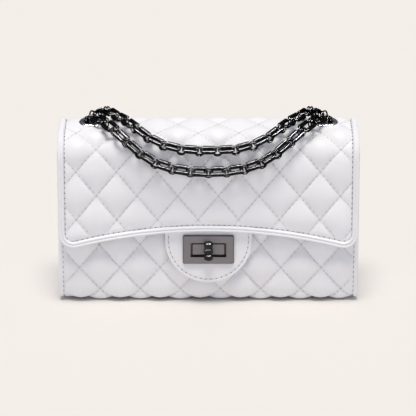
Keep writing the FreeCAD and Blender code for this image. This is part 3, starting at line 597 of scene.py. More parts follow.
class Nodes:
    """A node tree, with short ways to add what the finishes share."""

    def __init__(self, tree):
        self.tree = tree

    def feed(self, value, socket):
        """Join an output to a socket, or set a number or a colour on it."""
        if isinstance(value, bpy.types.NodeSocket):
            self.tree.links.new(value, socket)
        else:
            socket.default_value = (*value, 1.0) if isinstance(value, tuple) else value

    def add(self, kind, **values):
        """A node with its settings and the constants of its sockets."""
        node = self.tree.nodes.new("ShaderNode" + kind)
        set_constants(node, values)
        return node

    def place(self, scale=(1, 1, 1), source="Object"):
        mapping = self.add("Mapping", Scale=scale)
        self.feed(self.add("TexCoord").outputs[source], mapping.inputs["Vector"])
        return mapping.outputs["Vector"]

    def noise(self, vector, scale, detail=3.0):
        node = self.add("TexNoise", Scale=scale, Detail=detail)
        self.feed(vector, node.inputs["Vector"])
        return node.outputs["Fac"]

    def remap(self, value, low, high, start=0.0, end=1.0):
        node = self.add("MapRange", From_Min=start, From_Max=end, To_Min=low, To_Max=high)
        self.feed(value, node.inputs["Value"])
        return node.outputs["Result"]

    def maths(self, operation, *values):
        node = self.add("Math", operation=operation)
        for value, socket in zip(values, node.inputs):
            self.feed(value, socket)
        return node.outputs["Value"]

    def mix(self, share, first, second):
        """Mix of two colours, each a colour or an output, by a share."""
        node = self.add("Mix", data_type="RGBA")
        self.feed(share, node.inputs["Factor"])
        for value, key in ((first, "A"), (second, "B")):
            self.feed(value, [s for s in node.inputs if s.name == key and s.type == "RGBA"][0])
        return [s for s in node.outputs if s.type == "RGBA"][0]

    def tones(self, share, colour, low, high):
        """One colour between two shares of its brightness."""
        return self.mix(share, shaded(colour, low), shaded(colour, high))


class Finish(Nodes):
    """A new material, with its constants on the shader's own sockets."""

    def __init__(self, name, **constants):
        self.material = bpy.data.materials.new(name)
        self.material.use_nodes = True
        super().__init__(self.material.node_tree)
        self.shader = self.tree.nodes["Principled BSDF"]
        set_constants(self.shader, constants)

    def drive(self, socket, value):
        self.feed(value, self.shader.inputs[socket])

    def bump(self, height, strength, distance):
        node = self.add("Bump", Strength=strength, Distance=distance)
        self.feed(height, node.inputs["Height"])
        self.drive("Normal", node.outputs["Normal"])


def shaded(colour, share):
    return tuple(channel * share for channel in colour)


def made_once(make):
    """Let pieces with the same finish share one material."""
    def finish(name, *details, **constants):
        return bpy.data.materials.get(name) or make(name, *details, **constants)
    return finish


@made_once
def leather_finish(name, with_painted_seam_shade):
    """White leather with a fine pebble grain, a soft sheen and painted shade in its seams."""
    finish = Finish(name, Specular_IOR_Level=0.42, Sheen_Weight=0.06, Sheen_Roughness=0.4)
    paint = colours()
    place = finish.place()
    cloud = finish.noise(place, 38.0)
    cells = finish.add("TexVoronoi", Scale=1150.0, feature="SMOOTH_F1")
    finish.feed(place, cells.inputs["Vector"])
    pores = finish.noise(place, 2600.0, 2.0)
    colour = finish.tones(finish.remap(cloud, 0.0, 1.0, 0.3, 0.7), paint.leather, 1.0, 0.965)
    if with_painted_seam_shade:
        # Painted shade: the seam layer darkens the leather towards this colour where the padding dips.
        seam = finish.add("Attribute", attribute_name="seam")
        colour = finish.mix(finish.remap(seam.outputs["Fac"], 0.0, 0.6), colour, tuple(paint.painted_seam_shade))
    finish.drive("Base Color", colour)
    finish.drive("Roughness", finish.remap(cloud, 0.36, 0.50, 0.3, 0.7))
    finish.bump(finish.maths("MULTIPLY_ADD", pores, 0.35, cells.outputs["Distance"]), 0.22, 0.00025)
    return finish.material


@made_once
def mottled_finish(name, colour, tones, scale, detail=3.0, stretch=(1, 1, 1), gloss=None, relief=None,
                   **constants):
    """One colour mottled by a noise, which may drive the roughness and a fine relief too."""
    finish = Finish(name, **constants)
    mottle = finish.noise(finish.place(stretch), scale, detail)
    finish.drive("Base Color", finish.tones(mottle, colour, *tones))
    if gloss:
        finish.drive("Roughness", finish.remap(mottle, *gloss, 0.3, 0.7))
    if relief:
        finish.bump(mottle, *relief)
    return finish.material


@made_once
def lining_finish(name):
    """A plain woven cloth whose threads follow the sheet."""
    finish = Finish(name, Roughness=0.85, Sheen_Weight=0.25)
    paint = colours().lining
    place = finish.place(source="UV")
    waves = []
    for way in ("X", "Y"):
        wave = finish.add("TexWave", bands_direction=way, Scale=420.0, Distortion=0.6, Detail=1.0)
        finish.feed(place, wave.inputs["Vector"])
        waves.append(wave.outputs["Fac"])
    weave = finish.maths("MULTIPLY_ADD", waves[1], 1.0, waves[0])
    slub = finish.remap(finish.noise(place, 120.0), 0.0, 0.25, 0.3, 0.8)
    colour = finish.tones(finish.remap(weave, 0.0, 1.0, 0.2, 1.6), paint, 0.72, 1.0)
    finish.drive("Base Color", finish.mix(slub, colour, shaded(paint, 1.2)))
    finish.bump(weave, 0.35, 0.0002)
    return finish.material


def gunmetal_finish(name, colour, low, high):
    """Dark polished metal with faint smears and fine scratches."""
    finish = Finish(name, Metallic=1.0, Specular_Tint=(0.35, 0.35, 0.35, 1.0))
    smear = finish.noise(finish.place(), 160.0, 4.0)
    scratch = finish.noise(finish.place((400, 2600, 2600)), 1.0, 2.0)
    finish.drive("Base Color", finish.tones(smear, colour, 0.8, 1.25))
    finish.drive("Roughness", finish.remap(smear, low, high, 0.3, 0.7))
    finish.bump(scratch, 0.025, 0.0001)
    return finish.material


def frame_distance(finish, half_width, half_height):
    """Distance outside a rectangle round the lock, in metres; inside it is negative."""
    parts = finish.add("SeparateXYZ")
    finish.feed(finish.place(), parts.inputs["Vector"])
    sides = []
    for way, middle, half in (("X", LOCK.x, half_width), ("Z", LOCK.z, half_height)):
        from_middle = finish.maths("ABSOLUTE", finish.maths("SUBTRACT", parts.outputs[way], middle))
        sides.append(finish.maths("SUBTRACT", from_middle, half))
    return finish.maths("MAXIMUM", *sides)


def satin_finish(name, colour, is_plate=False):
    """Satin metal brushed across the bag; the lock's plate has painted shade on its rim and round its window."""
    finish = Finish(name, Metallic=1.0, Anisotropic=0.4)
    brushed = finish.noise(finish.place((45, 3800, 3800)), 1.0)
    cloud = finish.remap(finish.noise(finish.place(), 90.0), 0.0, 0.3, 0.35, 0.75)
    shade = finish.mix(cloud, finish.tones(brushed, colour, 0.9, 1.1), shaded(colour, 0.86))
    if is_plate:
        # Painted shade: the plate is darkened on its rim and blackened round the edges of its window.
        low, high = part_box("lock_faceplate")
        rim = frame_distance(finish, (high.x - low.x) / 2, (high.z - low.z) / 2)
        shade = finish.mix(finish.remap(rim, 0.0, 0.75, -0.9 * MM, -0.2 * MM), shade, shaded(colour, 0.25))
        window = frame_distance(finish, *WINDOW_HALF)
        shade = finish.mix(finish.remap(window, 1.0, 0.0, 0.1 * MM, 0.45 * MM), shade, shaded(colour, 0.02))
    finish.drive("Base Color", shade)
    finish.drive("Roughness", finish.remap(brushed, 0.40, 0.56))
    finish.bump(brushed, 0.08, 0.0001)
    return finish.material


# Quilted pieces

QUILT_BACK = PANEL - 0.1 * MM


def quilted_leather():
    return [leather_finish("quilted_leather", True)]


def smooth_leather():
    return [leather_finish("smooth_leather", False)]


def quilted_piece(name, body, quilt, half, foot, replaced, kept=None):
    """A padded piece over a profile, puffed outside and plain inside, with painted shade marked in its seams."""
    profile, depth_at = QUILTED[body]
    cells = quilt_sizes().cells
    across = grid_lines(-half, half, quilt.across, quilt.width / cells)
    along = grid_lines(foot, profile.length, quilt.along, quilt.height / cells)
    bm = grid_sheet(across, along, kept)
    x, u, inner = measures(bm)
    depth, seam = depth_at(x, u)
    put(bm, profile.surface(x, u, np.where(inner > 0.5, QUILT_BACK, depth)))
    # The seam layer is a mask of painted shade for the seams, on the outer face only.
    set_layer(bm, "seam", seam * (inner < 0.5))
    piece = finish_piece(bm, name, quilted_leather(), body, replaced)


class BAG_OT_quilted_wrap(bpy.types.Operator):
    """Quilted leather round the front, the base and the back in one piece"""
    bl_idname = "bag.quilted_wrap"
    bl_label = "Quilted wrap"

    def execute(self, context):
        replaced = ("front_panel", "base_panel", "back_panel")
        quilted_piece("quilted_wrap", "body", body_quilt(), HALF_BODY, 0.0, replaced)
        return {"FINISHED"}


FLAP_GAPS = (2.6 * MM, 8.2 * MM)
FACING_GAPS = (2.2 * MM, 8.4 * MM)
FACING_STEP = 2.4 * MM
FACING_DEPTHS = (5.0 * MM, 5.75 * MM)
FACING_MIDDLE = 5.4 * MM
BINDING_STEP = 2.2 * MM
BINDING_SECTION = rounded_section([
    (5.3, 3.3), (5.0, 2.2), (4.1, 1.15), (3.2, 1.25), (2.65, 1.95), (2.1, 1.35), (1.2, 0.95), (0.3, 1.6),
    (-0.05, 2.9), (0.1, 4.6), (0.9, 5.75), (3.0, 5.95), (4.8, 5.95), (5.1, 5.5), (5.0, 4.4)], 48)


def lay_flap_facing():
    across = grid_lines(-FLAP_HALF, FLAP_HALF, 0.0, FACING_STEP)
    along = grid_lines(FLAP_FOOT, FLAP.length, 0.0, FACING_STEP)
    kept = on_flap(*FACING_GAPS)
    bm = grid_sheet(across, along, kept)
    x, u, inner = measures(bm)
    put(bm, FLAP.surface(x, u, np.where(inner > 0.5, FACING_DEPTHS[1], FACING_DEPTHS[0])))
    piece = finish_piece(bm, "flap_facing", smooth_leather(), "flap", ("flap_lining",))
    fine_x, fine_u = np.meshgrid(*(np.linspace(lines[0], lines[-1], 400) for lines in (across, along)))
    turned = sum(abs(curve) * run_length for _, run_length, _, _, curve in FLAP.runs)
    width, length = across[-1] - across[0], along[-1] - along[0] - FACING_MIDDLE * turned
    float(kept(fine_x, fine_u).mean() * width * length)


def bind_flap_edge():
    path, ways = even_path(flap_outline(0.0), BINDING_STEP)
    inward = np.stack((-ways[:, 1], ways[:, 0]), -1)

    def place(reach, depth, station):
        places = path[station] + inward[station] * reach[:, None]
        return FLAP.surface(places[:, 0], np.minimum(places[:, 1], FLAP.length), depth)

    bm = swept(BINDING_SECTION, len(path), place)
    finish_piece(bm, "flap_bound_edge", smooth_leather(), "flap", ("flap_binding",))


class BAG_OT_flap(bpy.types.Operator):
    """Quilted flap with its leather facing and the bound edge round it"""
    bl_idname = "bag.flap"
    bl_label = "Flap"

    def execute(self, context):
        quilted_piece("quilted_flap", "flap", flap_quilt(), FLAP_HALF, FLAP_FOOT, ("flap_outer",),
                      on_flap(*FLAP_GAPS))
        lay_flap_facing()
        bind_flap_edge()
        return {"FINISHED"}


# Tongue

TONGUE_HALF = 37.7 * MM
TONGUE_BOTTOM = (20.8 * MM - LOCK.z) / math.cos(LEAN)
TONGUE_ROOT = (96.0 * MM - LOCK.z) / math.cos(LEAN)
TONGUE_MIDDLE = TONGUE_BOTTOM + TONGUE_HALF
TONGUE_STITCH = 3.0 * MM
TONGUE_EDGE = 1.3 * MM
TONGUE_ROUND = 1.5 * MM
TONGUE_RISE = (1.9 * MM, 0.9 * MM)
GROOVE_RISE = (2.5 * MM, 0.3 * MM)
GROOVE_HALF = 0.2 * MM
GROOVE_SLOPE = 1.3 * MM
GROOVE_SHADE = 0.7 * MM
TONGUE_BACK = (1.3 * MM, 0.8 * MM)
BACK_SLOPE = 1.6 * MM
SLOT_HALF = (16.4 * MM, 7.1 * MM)
WINDOW_HALF = (15.25 * MM, 6.0 * MM)


def on_front(x, up, out):
    """Points in space from places on the leaning front, measured from the lock's middle."""
    y = LOCK.y + up * math.sin(LEAN) - out * math.cos(LEAN)
    z = LOCK.z + up * math.cos(LEAN) + out * math.sin(LEAN)
    return np.stack((x, y, z), -1)


def tongue_edge_distance(x, up):
    return TONGUE_HALF - np.where(up < TONGUE_MIDDLE, np.hypot(x, up - TONGUE_MIDDLE), np.abs(x))


def tongue_face(edge):
    """Height of the tongue's face over the front: a rounded turned edge, a stitched groove, then flat."""
    turned = np.sqrt(np.clip(1 - ((edge - TONGUE_EDGE) / TONGUE_ROUND) ** 2, 0, 1))
    rounded = TONGUE_RISE[0] + TONGUE_RISE[1] * turned
    out_of_groove = smooth((np.abs(edge - TONGUE_STITCH) - GROOVE_HALF) / GROOVE_SLOPE)
    groove = GROOVE_RISE[0] + GROOVE_RISE[1] * out_of_groove
    return np.where(edge < TONGUE_EDGE, rounded, groove)


def tongue_back(edge):
    return TONGUE_BACK[0] - TONGUE_BACK[1] * smooth(edge / BACK_SLOPE)


class BAG_OT_tongue(bpy.types.Operator):
    """Tongue under the flap's edge, with a turned edge and a slot for the lock"""
    bl_idname = "bag.tongue"
    bl_label = "Tongue"

    def execute(self, context):
        half, middle = TONGUE_HALF, TONGUE_MIDDLE
        rows = np.concatenate((TONGUE_BOTTOM + half * (1 - np.cos(np.linspace(0, math.pi / 2, 30))),
                               np.linspace(middle, TONGUE_ROOT, 40)[1:]))
        bm = grid_sheet(np.linspace(-1, 1, 72), rows, closed=False)
        s, v, _ = measures(bm)
        x = s * np.where(v < middle, np.sqrt(np.clip(half ** 2 - (middle - v) ** 2, 0, None)), half)
        set_layer(bm, "across", x)
        put(bm, np.stack((x, v, np.zeros(len(x))), -1))
        bmesh.ops.remove_doubles(bm, verts=bm.verts[:], dist=0.00002)
        for axis, reach in enumerate(SLOT_HALF):
            normal = Vector((1 - axis, axis, 0))
            for side in (-1, 1):
                bmesh.ops.bisect_plane(bm, geom=bm.verts[:] + bm.edges[:] + bm.faces[:],
                                       plane_co=normal * (side * reach), plane_no=normal)
        middles = [(face, face.calc_center_median()) for face in bm.faces]
        inside = [face for face, spot in middles if abs(spot.x) < SLOT_HALF[0] and abs(spot.y) < SLOT_HALF[1]]
        bmesh.ops.delete(bm, geom=inside, context="FACES")
        back = set(doubled(bm))
        x, up = np.array([(v.co.x, v.co.y) for v in bm.verts]).T
        rear = np.array([v in back for v in bm.verts])
        edge = tongue_edge_distance(x, up)
        put(bm, on_front(x, up, np.where(rear, tongue_back(edge), tongue_face(edge))))
        # Painted shade in the seam layer along the stitched groove.
        set_layer(bm, "seam", np.exp(-(np.abs(edge - TONGUE_STITCH) / GROOVE_SHADE) ** 2) * ~rear)
        finish_piece(bm, "lock_tongue", quilted_leather(), "flap", ("tab_outer", "tab_lining"))
        return {"FINISHED"}


# Sides and lining

GUSSET_FACE = 127.0 * MM
GUSSET_WALL = 2.2 * MM
GUSSET_FOLD = 12.0 * MM
GUSSET_BULGE = 0.8 * MM
FOLD_START = 30.0 * MM
CREASE_ROUND = 0.004
GUSSET_TOPS = (136.0 * MM, 120.8 * MM)
SIDES = ((-1, "left"), (1, "right"))


def wall_reach(height, inset):
    """Distance from the middle plane to the wall's inner face at each height."""
    profile = body_profile(inset)
    base_start = sum(run[1] for run in profile.runs[:3])
    points, _, _ = profile.place(np.linspace(0, base_start, 400))
    return np.interp(height, points[::-1, 1], -points[::-1, 0])


def folded_side(side, columns, rows, face, thickness, inset, tops):
    """A folded side as a bmesh, with its points: from front to back, and from the base to the mouth."""
    front_top, back_top = tops
    bm = grid_sheet(np.linspace(-1, 1, columns + 1), np.linspace(0, 1, rows + 1))
    v, w, inner = measures(bm)
    top = (front_top + back_top) / 2 + v * (back_top - front_top) / 2
    height = inset + (top - inset) * w
    risen = (height - FOLD_START) / (front_top - FOLD_START)
    fold = GUSSET_FOLD * np.clip(risen, 0, 1)
    crease = (1 - np.sqrt(v ** 2 + CREASE_ROUND)) / (1 - math.sqrt(CREASE_ROUND))
    bulge = GUSSET_BULGE * np.sin(np.pi * np.abs(v)) * smooth(risen)
    x = face - thickness * inner - fold * np.clip(crease, 0, 1) + bulge
    points = np.stack((side * x, v * wall_reach(height, inset), height), -1)
    put(bm, points)
    return bm, points


class BAG_OT_gussets(bpy.types.Operator):
    """Folded leather sides"""
    bl_idname = "bag.gussets"
    bl_label = "Gussets"

    def execute(self, context):
        for side, name in SIDES:
            bm, _ = folded_side(side, 40, 60, GUSSET_FACE, GUSSET_WALL, PANEL + 0.1 * MM, GUSSET_TOPS)
            node = name + "_gusset"
            piece = finish_piece(bm, "folded_" + node, smooth_leather(), "body", (node,))
        return {"FINISHED"}


LINING_DEPTH = 6.25 * MM
LINING_HALF = 122.3 * MM
LINING_MARGIN = 1.6 * MM
LINING_STEP = 2.5 * MM
LINING_RIPPLE = 0.25 * MM
LINING_CLOTH = (0.3 * MM, 0.35 * MM)
LINING_FACE = GUSSET_FACE - 2.6 * MM
LINING_WALL = 0.5 * MM
LINING_TOPS = (135.8 * MM, 120.6 * MM)


class BAG_OT_lining(bpy.types.Operator):
    """Woven lining: one strip round the front, base and back, and two folded sides"""
    bl_idname = "bag.lining"
    bl_label = "Lining"

    def execute(self, context):
        cloth = [lining_finish("woven_lining")]
        outer = body_profile(LINING_DEPTH)
        across = grid_lines(-LINING_HALF, LINING_HALF, 0.0, LINING_STEP)
        bm = grid_sheet(across, grid_lines(LINING_MARGIN, outer.length - LINING_MARGIN, 0.0, LINING_STEP))
        x, u, inner = measures(bm)
        ripple = LINING_RIPPLE * (np.sin(x * 43 + np.sin(u * 31)) * np.sin(u * 37 + 1.3 * np.sin(x * 29)))
        put(bm, outer.surface(x, u, LINING_CLOTH[1] * inner + LINING_CLOTH[0] + ripple))
        weave_map(bm)
        wrap = finish_piece(bm, "lining_strip", cloth, "body", ("lining_wrap",))
        for side, name in SIDES:
            bm, points = folded_side(side, 36, 50, LINING_FACE, LINING_WALL, WALL, LINING_TOPS)
            set_layer(bm, "across", points[:, 1])
            set_layer(bm, "along", points[:, 2])
            weave_map(bm)
            node = "lining_" + name
            piece = finish_piece(bm, node + "_cloth", cloth, "body", (node,))
        return {"FINISHED"}


# Seams

BAR_STATIONS = 60
ROLL_RADIUS = 2.2 * MM
MOUTH_SECTION = rounded_section([
    (-0.5, -9.0), (-0.75, -4.0), (-0.55, -0.6), (0.6, 1.2), (2.8, 1.5), (5.2, 1.1), (7.1, -0.4), (7.5, -4.0),
    (7.2, -9.0), (6.9, -5.0), (6.6, -1.0), (3.2, -0.4), (0.3, -1.0), (0.0, -5.0)], 56)
FACING_SECTION = rounded_section([
    (2.4, -6.0), (1.6, -4.3), (0.9, -2.4), (-0.6, -2.5), (-2.6, -3.6), (-4.7, -5.2), (-5.3, -8.0),
    (-5.2, -14.0), (-4.6, -14.0), (-4.5, -8.0), (-3.8, -6.1), (-1.0, -5.2), (1.2, -6.2)], 52)
STRIP_ROWS = (14, 12)
STRIP_BEND = 12
STRIP_TAPER = 3.0
STRIP_GAP = 0.5 * MM
STRIP_HALF = HALF_BODY - 0.6 * MM
STRIP_RISE = 0.15 * MM
STRIP_SWELL = 0.75 * MM
STRIP_REACH = (12.0 * MM, 9.0 * MM)


def bar_across(name, section, inset, replaced=()):
    """A closed bar of one section that runs across the bag."""
    half = HALF_BODY - inset

    def place(y, z, station):
        return np.stack((-half + 2 * half * station / (BAR_STATIONS - 1), y, z), -1)

    finish_piece(swept(section, BAR_STATIONS, place), name, smooth_leather(), "body", replaced)


def lay_hinge_strip(hinge):
    """A strip on the back's top edge and the flap's root that bends round the hinge between them."""
    low, _, low_normals = BODY.place(
        np.linspace(BODY.length - STRIP_REACH[0], BODY.length - STRIP_GAP, STRIP_ROWS[0]))
    high, _, high_normals = FLAP.place(np.linspace(FLAP.length, FLAP.length - STRIP_REACH[1], STRIP_ROWS[1]))
    start, end = low[-1], high[0]
    ends = np.array((start, end)) - hinge
    first, last = np.arctan2(ends[:, 1], ends[:, 0])
    near, far = np.linalg.norm(ends, axis=1)
    share = np.linspace(0, 1, STRIP_BEND)[1:-1]
    bend = unit(first + (last - first) * share)
    centre = np.concatenate((low, hinge + bend * (near + (far - near) * share)[:, None], high))
    normals = np.concatenate((low_normals, bend, high_normals))
    rows = np.arange(len(centre))
    swell = smooth(np.minimum(rows, rows[::-1]) / STRIP_TAPER)
    bm = grid_sheet(np.linspace(-STRIP_HALF, STRIP_HALF, 90), rows)
    x, row, inner = measures(bm)
    row = row.astype(int)
    lift = np.where(inner > 0.5, -STRIP_RISE, STRIP_RISE + STRIP_SWELL * swell[row])
    put(bm, np.insert(centre[row] + normals[row] * lift[:, None], 0, x, axis=1))
    piece = finish_piece(bm, "hinge_strip", smooth_leather(), None)
    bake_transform(piece, "body", "flap", start=(0, start[0], start[1]), end=(0, end[0], end[1]))


class BAG_OT_seams(bpy.types.Operator):
    """Bound mouth, back seam roll and the leather strip that the flap bends on"""
    bl_idname = "bag.seams"
    bl_label = "Seams"

    def execute(self, context):
        hinge = np.array((HINGE.y, HINGE.z))
        mouth = MOUTH_SECTION + (-MOUTH_HALF, FRONT_TOP)
        mouth[:, 0] += (FRONT_TOP - mouth[:, 1]) * -math.tan(LEAN)
        roll = hinge + ROLL_RADIUS * unit(np.linspace(0, 2 * math.pi, 24, endpoint=False))
        bar_across("mouth_binding", mouth, 0.2 * MM, ("front_mouth_binding",))
        bar_across("back_seam_roll", roll, 0.2 * MM, ("hinge_roll",))
        bar_across("back_mouth_facing", FACING_SECTION + hinge, 0.4 * MM)
        lay_hinge_strip(hinge)
        return {"FINISHED"}


# Stitching

EDGE_STITCH_STEP = 4.6 * MM
SIDE_STITCH_STEP = 4.7 * MM
SIDE_STITCH_LIFT = 0.75 * MM
QUILT_LIFT, EDGE_LIFT = 0.15, 0.2
QUILT_ENDS = (3 * MM, 9 * MM)
EDGE_ENDS = (4 * MM, 10 * MM)
SIDE_CLEARANCE = 1.5 * MM
STITCH_GAPS = (BINDING_WIDTH + 1.8 * MM, 12.5 * MM)
EDGE_STITCH_INSET = BINDING_WIDTH + 0.75 * MM


def stitch_row(points, ways, normals, hole_length, hole_width):
    """A thread at each place and a dark speck past its end, painted shade for a needle hole: all copies of one
    stitch.
    """
    sizes = quilt_sizes()
    bm = bmesh.new()
    thread = Matrix.Diagonal((sizes.stitch_length, sizes.thread, sizes.thread * 0.8, 1.0))
    bmesh.ops.create_uvsphere(bm, u_segments=6, v_segments=4, radius=0.5, matrix=thread)
    hole_shade_pit = (Matrix.Translation((sizes.stitch_length / 2 + hole_length * 0.45, 0, 0))
           @ Matrix.Diagonal((hole_length, hole_width, hole_width * 0.6, 1.0)))
    made = bmesh.ops.create_uvsphere(bm, u_segments=6, v_segments=3, radius=0.5, matrix=hole_shade_pit)
    for face in {f for v in made["verts"] for f in v.link_faces}:
        face.material_index = 1
    number = bm.verts.layers.float.new("number")
    held = 1
    while held < len(points):
        last = min(held, len(points) - held)
        copied = [f for f in bm.faces if f.verts[0][number] < last]
        for v in bmesh.ops.duplicate(bm, geom=copied)["geom"]:
            if isinstance(v, bmesh.types.BMVert):
                v[number] += held
        held += last
    ways = ways / np.linalg.norm(ways, axis=1)[:, None]
    normals = normals - ways * np.sum(normals * ways, axis=1)[:, None]
    normals = normals / np.linalg.norm(normals, axis=1)[:, None]
    turns = np.stack((ways, np.cross(normals, ways), normals), -1)
    which = np.array([v[number] for v in bm.verts]).astype(int)
    local = np.array([v.co for v in bm.verts])
    put(bm, points[which] + np.einsum("nij,nj->ni", turns[which], local))
    return bm


def finish_stitches(name, body, frames, is_edge=True):
    sizes, paint = quilt_sizes(), colours()
    holes = tuple(sizes.edge_hole) if is_edge else (sizes.hole, sizes.hole)
    thread = mottled_finish("waxed_thread", paint.thread, (0.86, 1.0), 3200.0, 2.0, relief=(0.3, 0.0001),
                            Roughness=0.62, Sheen_Weight=0.2)
    # Painted shade: the needle holes' dark specks.
    hole_shade_pit = mottled_finish("needle_hole", paint.hole, (0.6, 1.0), 900.0, Roughness=0.9, Specular_IOR_Level=0.1)
    finish_piece(stitch_row(*frames, *holes), name, [thread, hole_shade_pit], body, fix_normals=False)


def sew(name, body, flat, ways, lift, is_edge=True):
    """Stitches on the quilted piece of a body, lifted a little out of its face."""
    profile, depth_at = QUILTED[body]
    across, along = flat.T
    points = profile.surface(across, along, depth_at(across, along)[0] - lift)
    _, headings, normals = profile.place(along)
    directions = np.concatenate((ways[:, :1], ways[:, 1:] * unit(headings)), -1)
    outward = np.insert(normals, 0, 0.0, axis=1)
    finish_stitches(name, body, (points, directions, outward), is_edge)


def sew_body():
    sizes = quilt_sizes()
    side = HALF_BODY - sizes.seam_margin
    reach = side - SIDE_CLEARANCE
    flat, ways = body_quilt().seams((-reach, QUILT_ENDS[0]), (reach, BODY.length - QUILT_ENDS[1]))
    sew("body_quilt_stitches", "body", flat, ways, sizes.thread * QUILT_LIFT, False)
    along = np.arange(EDGE_ENDS[0], BODY.length - EDGE_ENDS[1], SIDE_STITCH_STEP)
    flat = np.stack((np.repeat((-side, side), len(along)), np.tile(along, 2)), -1)
    sew("body_side_stitches", "body", flat, np.tile((0.0, 1.0), (len(flat), 1)), SIDE_STITCH_LIFT)


def sew_flap():
    thread = quilt_sizes().thread
    flat, ways = flap_quilt().seams((-FLAP_HALF, FLAP_FOOT), (FLAP_HALF, FLAP.length - QUILT_ENDS[1]))
    inside = on_flap(*STITCH_GAPS)(*flat.T)
    sew("flap_quilt_stitches", "flap", flat[inside], ways[inside], thread * QUILT_LIFT, False)
    path, ways = even_path(flap_outline(EDGE_STITCH_INSET), EDGE_STITCH_STEP)
    inside = path[:, 1] < FLAP.length - EDGE_ENDS[1]
    sew("flap_edge_stitches", "flap", path[inside], ways[inside], thread * EDGE_LIFT)


def sew_tongue():
    radius = TONGUE_HALF - TONGUE_STITCH
    arc = radius * unit(np.linspace(math.pi, 2 * math.pi, 40)) + (0.0, TONGUE_MIDDLE)
    path, ways = even_path(np.array([(-radius, TONGUE_ROOT), *arc, (radius, TONGUE_ROOT)]), EDGE_STITCH_STEP)
    x, up = path.T
    origin = on_front(0.0, 0.0, 0.0)
    points = on_front(x, up, tongue_face(tongue_edge_distance(x, up)) + quilt_sizes().thread * EDGE_LIFT)
    directions = on_front(*ways.T, np.zeros(len(ways))) - origin
    outward = np.tile(on_front(0.0, 0.0, 1.0) - origin, (len(path), 1))
    finish_stitches("tongue_stitches", "flap", (points, directions, outward))


class BAG_OT_stitching(bpy.types.Operator):
    """Thread and needle holes of the quilting and of the edges"""
    bl_idname = "bag.stitching"
    bl_label = "Stitching"

    def execute(self, context):
        sew_body()
        sew_flap()
        sew_tongue()
        return {"FINISHED"}


# Hardware

POLISHED_SLOTS = ("chain_gunmetal", "eyelet_gunmetal", "black_metal")


def polished_pieces():
    """Group of the polished metal pieces, which the highlight lamps light."""
    name = "polished_metal"
    return bpy.data.collections.get(name) or bpy.data.collections.new(name)


class BAG_OT_hardware(bpy.types.Operator):
    """Finishes of the chain, the eyelets, the lock and the hidden boards"""
    bl_idname = "bag.hardware"
    bl_label = "Hardware"

    def execute(self, context):
        paint = colours()
        plate = satin_finish("satin_plate", paint.plate, is_plate=True)
        finishes = {
            "chain_gunmetal": gunmetal_finish("chain_gunmetal", paint.chain, 0.05, 0.11),
            "eyelet_gunmetal": gunmetal_finish("eyelet_gunmetal", shaded(paint.chain, 14.0), 0.16, 0.30),
            "satin_gunmetal": satin_finish("satin_gunmetal", paint.plate),
            "plain_steel": satin_finish("plain_steel", paint.steel),
            "black_metal": mottled_finish("black_gloss_metal", paint.knob, (1.0, 1.8), 240.0, 4.0,
                                          gloss=(0.08, 0.16), Metallic=1.0, Coat_Weight=0.3, Coat_Roughness=0.04),
            "stiff_board": mottled_finish("grey_board", paint.board, (0.8, 1.15), 1.0, 4.0, (300, 900, 900),
                                          relief=(0.2, 0.0002), Roughness=0.9),
        }
        for entry in frame["record"]["subparts"]:
            piece, slot = frame["nodes"][entry["node"]], entry["material_slot"]
            material = plate if entry["node"] == "lock_faceplate" else finishes.get(slot)
            if material:
                piece.data.materials.clear()
                piece.data.materials.append(material)
            if slot in POLISHED_SLOTS:
                polished_pieces().objects.link(piece)
        return {"FINISHED"}


# Studio

LAMP_DISTANCE = 2
HIGHLIGHT_TARGET = (0, -0.02, 0.1)
UPRIGHT, LEVEL = (0.06, 0.9), (4.0, 0.06)
SENSOR_WIDTH = 36.0
FAR_LIMIT = 30.0


def lay_floor(scene):
    bm = bmesh.new()
    bmesh.ops.create_grid(bm, x_segments=8, y_segments=8, size=4.0)
    mesh = bpy.data.meshes.new("floor")
    bm.to_mesh(mesh)
    bm.free()
    mesh.materials.append(mottled_finish("pale_floor", scene.bag_studio.floor, (0.995, 1.005), 60.0, 4.0,
                                         Roughness=0.9, Specular_IOR_Level=0.0))
    floor = bpy.data.objects.new("floor", mesh)
    scene.collection.objects.link(floor)


def light_room(scene):
    """A room that is paler overhead than at the sides."""
    scene.world = bpy.data.worlds.new("studio")
    scene.world.use_nodes = True
    nodes = Nodes(scene.world.node_tree)
    parts = nodes.add("SeparateXYZ")
    nodes.feed(nodes.add("TexCoord").outputs["Generated"], parts.inputs["Vector"])
    share = nodes.remap(parts.outputs["Z"], 0.0, 1.0, 0.0, 0.9)
    sky = nodes.mix(share, tuple(scene.bag_studio.sky_low), tuple(scene.bag_studio.sky_high))
    nodes.feed(sky, nodes.tree.nodes["Background"].inputs["Color"])


def aim(scene, data, place, target):
    """Put a lamp or the camera in its place and turn it towards a target."""
    made = bpy.data.objects.new(data.name, data)
    made.location = place
    made.rotation_euler = (Vector(target) - Vector(place)).to_track_quat("-Z", "Y").to_euler()
    scene.collection.objects.link(made)
    return made


def hang_main_lamp(scene):
    studio = scene.bag_studio
    light = bpy.data.lights.new("main_lamp", "SUN")
    light.energy, light.angle, light.color = studio.sun_strength, studio.sun_size, studio.sun_colour
    out, up = math.cos(studio.sun_elevation), math.sin(studio.sun_elevation)
    aim(scene, light, (0.0, -LAMP_DISTANCE * out, LAMP_DISTANCE * up), (0, 0, 0))


def hang_highlight(scene, name, place, sides, power):
    """A narrow light that the polished metal alone reflects."""
    light = bpy.data.lights.new(name, "AREA")
    light.shape = "RECTANGLE"
    light.size, light.size_y = sides
    light.energy = power
    lamp = aim(scene, light, place, HIGHLIGHT_TARGET)
    lamp.light_linking.receiver_collection = polished_pieces()


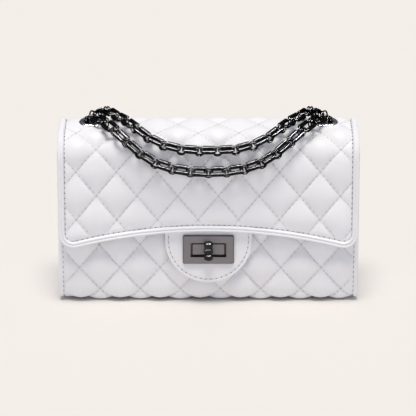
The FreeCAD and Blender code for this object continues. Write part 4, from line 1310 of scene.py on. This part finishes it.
def place_camera(scene):
    studio = scene.bag_studio
    data = bpy.data.cameras.new("camera")
    data.sensor_width = SENSOR_WIDTH
    data.lens = SENSOR_WIDTH * studio.distance / studio.frame_width
    data.clip_end = FAR_LIMIT
    target = Vector(studio.target)
    back = Vector((0, -math.cos(studio.elevation), math.sin(studio.elevation)))
    scene.camera = aim(scene, data, target + back * studio.distance, target)


class BAG_OT_studio(bpy.types.Operator):
    """Floor, lights and camera"""
    bl_idname = "bag.studio"
    bl_label = "Studio"

    def execute(self, context):
        scene = context.scene
        studio = scene.bag_studio
        lay_floor(scene)
        light_room(scene)
        hang_main_lamp(scene)
        hang_highlight(scene, "strip_left", (-0.9, -0.9, 0.75), UPRIGHT, studio.strip_power)
        hang_highlight(scene, "strip_right", (0.9, -0.8, 0.85), UPRIGHT, studio.strip_power)
        hang_highlight(scene, "tube_overhead", (0.0, -0.72, 1.35), LEVEL, studio.tube_power)
        place_camera(scene)
        scene.view_settings.view_transform = "Standard"
        return {"FINISHED"}


# Registration

OPERATORS = (BAG_OT_quilted_wrap, BAG_OT_flap, BAG_OT_tongue, BAG_OT_gussets, BAG_OT_lining, BAG_OT_seams,
             BAG_OT_stitching, BAG_OT_hardware, BAG_OT_studio)


class BAG_PT_panel(bpy.types.Panel):
    """Lists the steps that dress the bag"""
    bl_idname = "BAG_PT_panel"
    bl_label = "Shoulder bag"
    bl_space_type = "VIEW_3D"
    bl_region_type = "UI"
    bl_category = "Shoulder bag"

    def draw(self, context):
        for operator in OPERATORS:
            self.layout.operator(operator.bl_idname)


GROUPS = {"bag_quilt": QuiltSizes, "bag_colours": BagColours, "bag_studio": StudioSettings}
CLASSES = (*GROUPS.values(), *OPERATORS, BAG_PT_panel)


def register():
    for each in CLASSES:
        bpy.utils.register_class(each)
    for name, group in GROUPS.items():
        setattr(bpy.types.Scene, name, bpy.props.PointerProperty(type=group))


def unregister():
    for name in GROUPS:
        delattr(bpy.types.Scene, name)
    for each in reversed(CLASSES):
        bpy.utils.unregister_class(each)


def main():
    register()
    bpy.ops.bag.quilted_wrap()
    bpy.ops.bag.flap()
    bpy.ops.bag.tongue()
    bpy.ops.bag.gussets()
    bpy.ops.bag.lining()
    bpy.ops.bag.seams()
    bpy.ops.bag.stitching()
    bpy.ops.bag.hardware()
    bpy.ops.bag.studio()


if __name__ == "__main__":
    main()
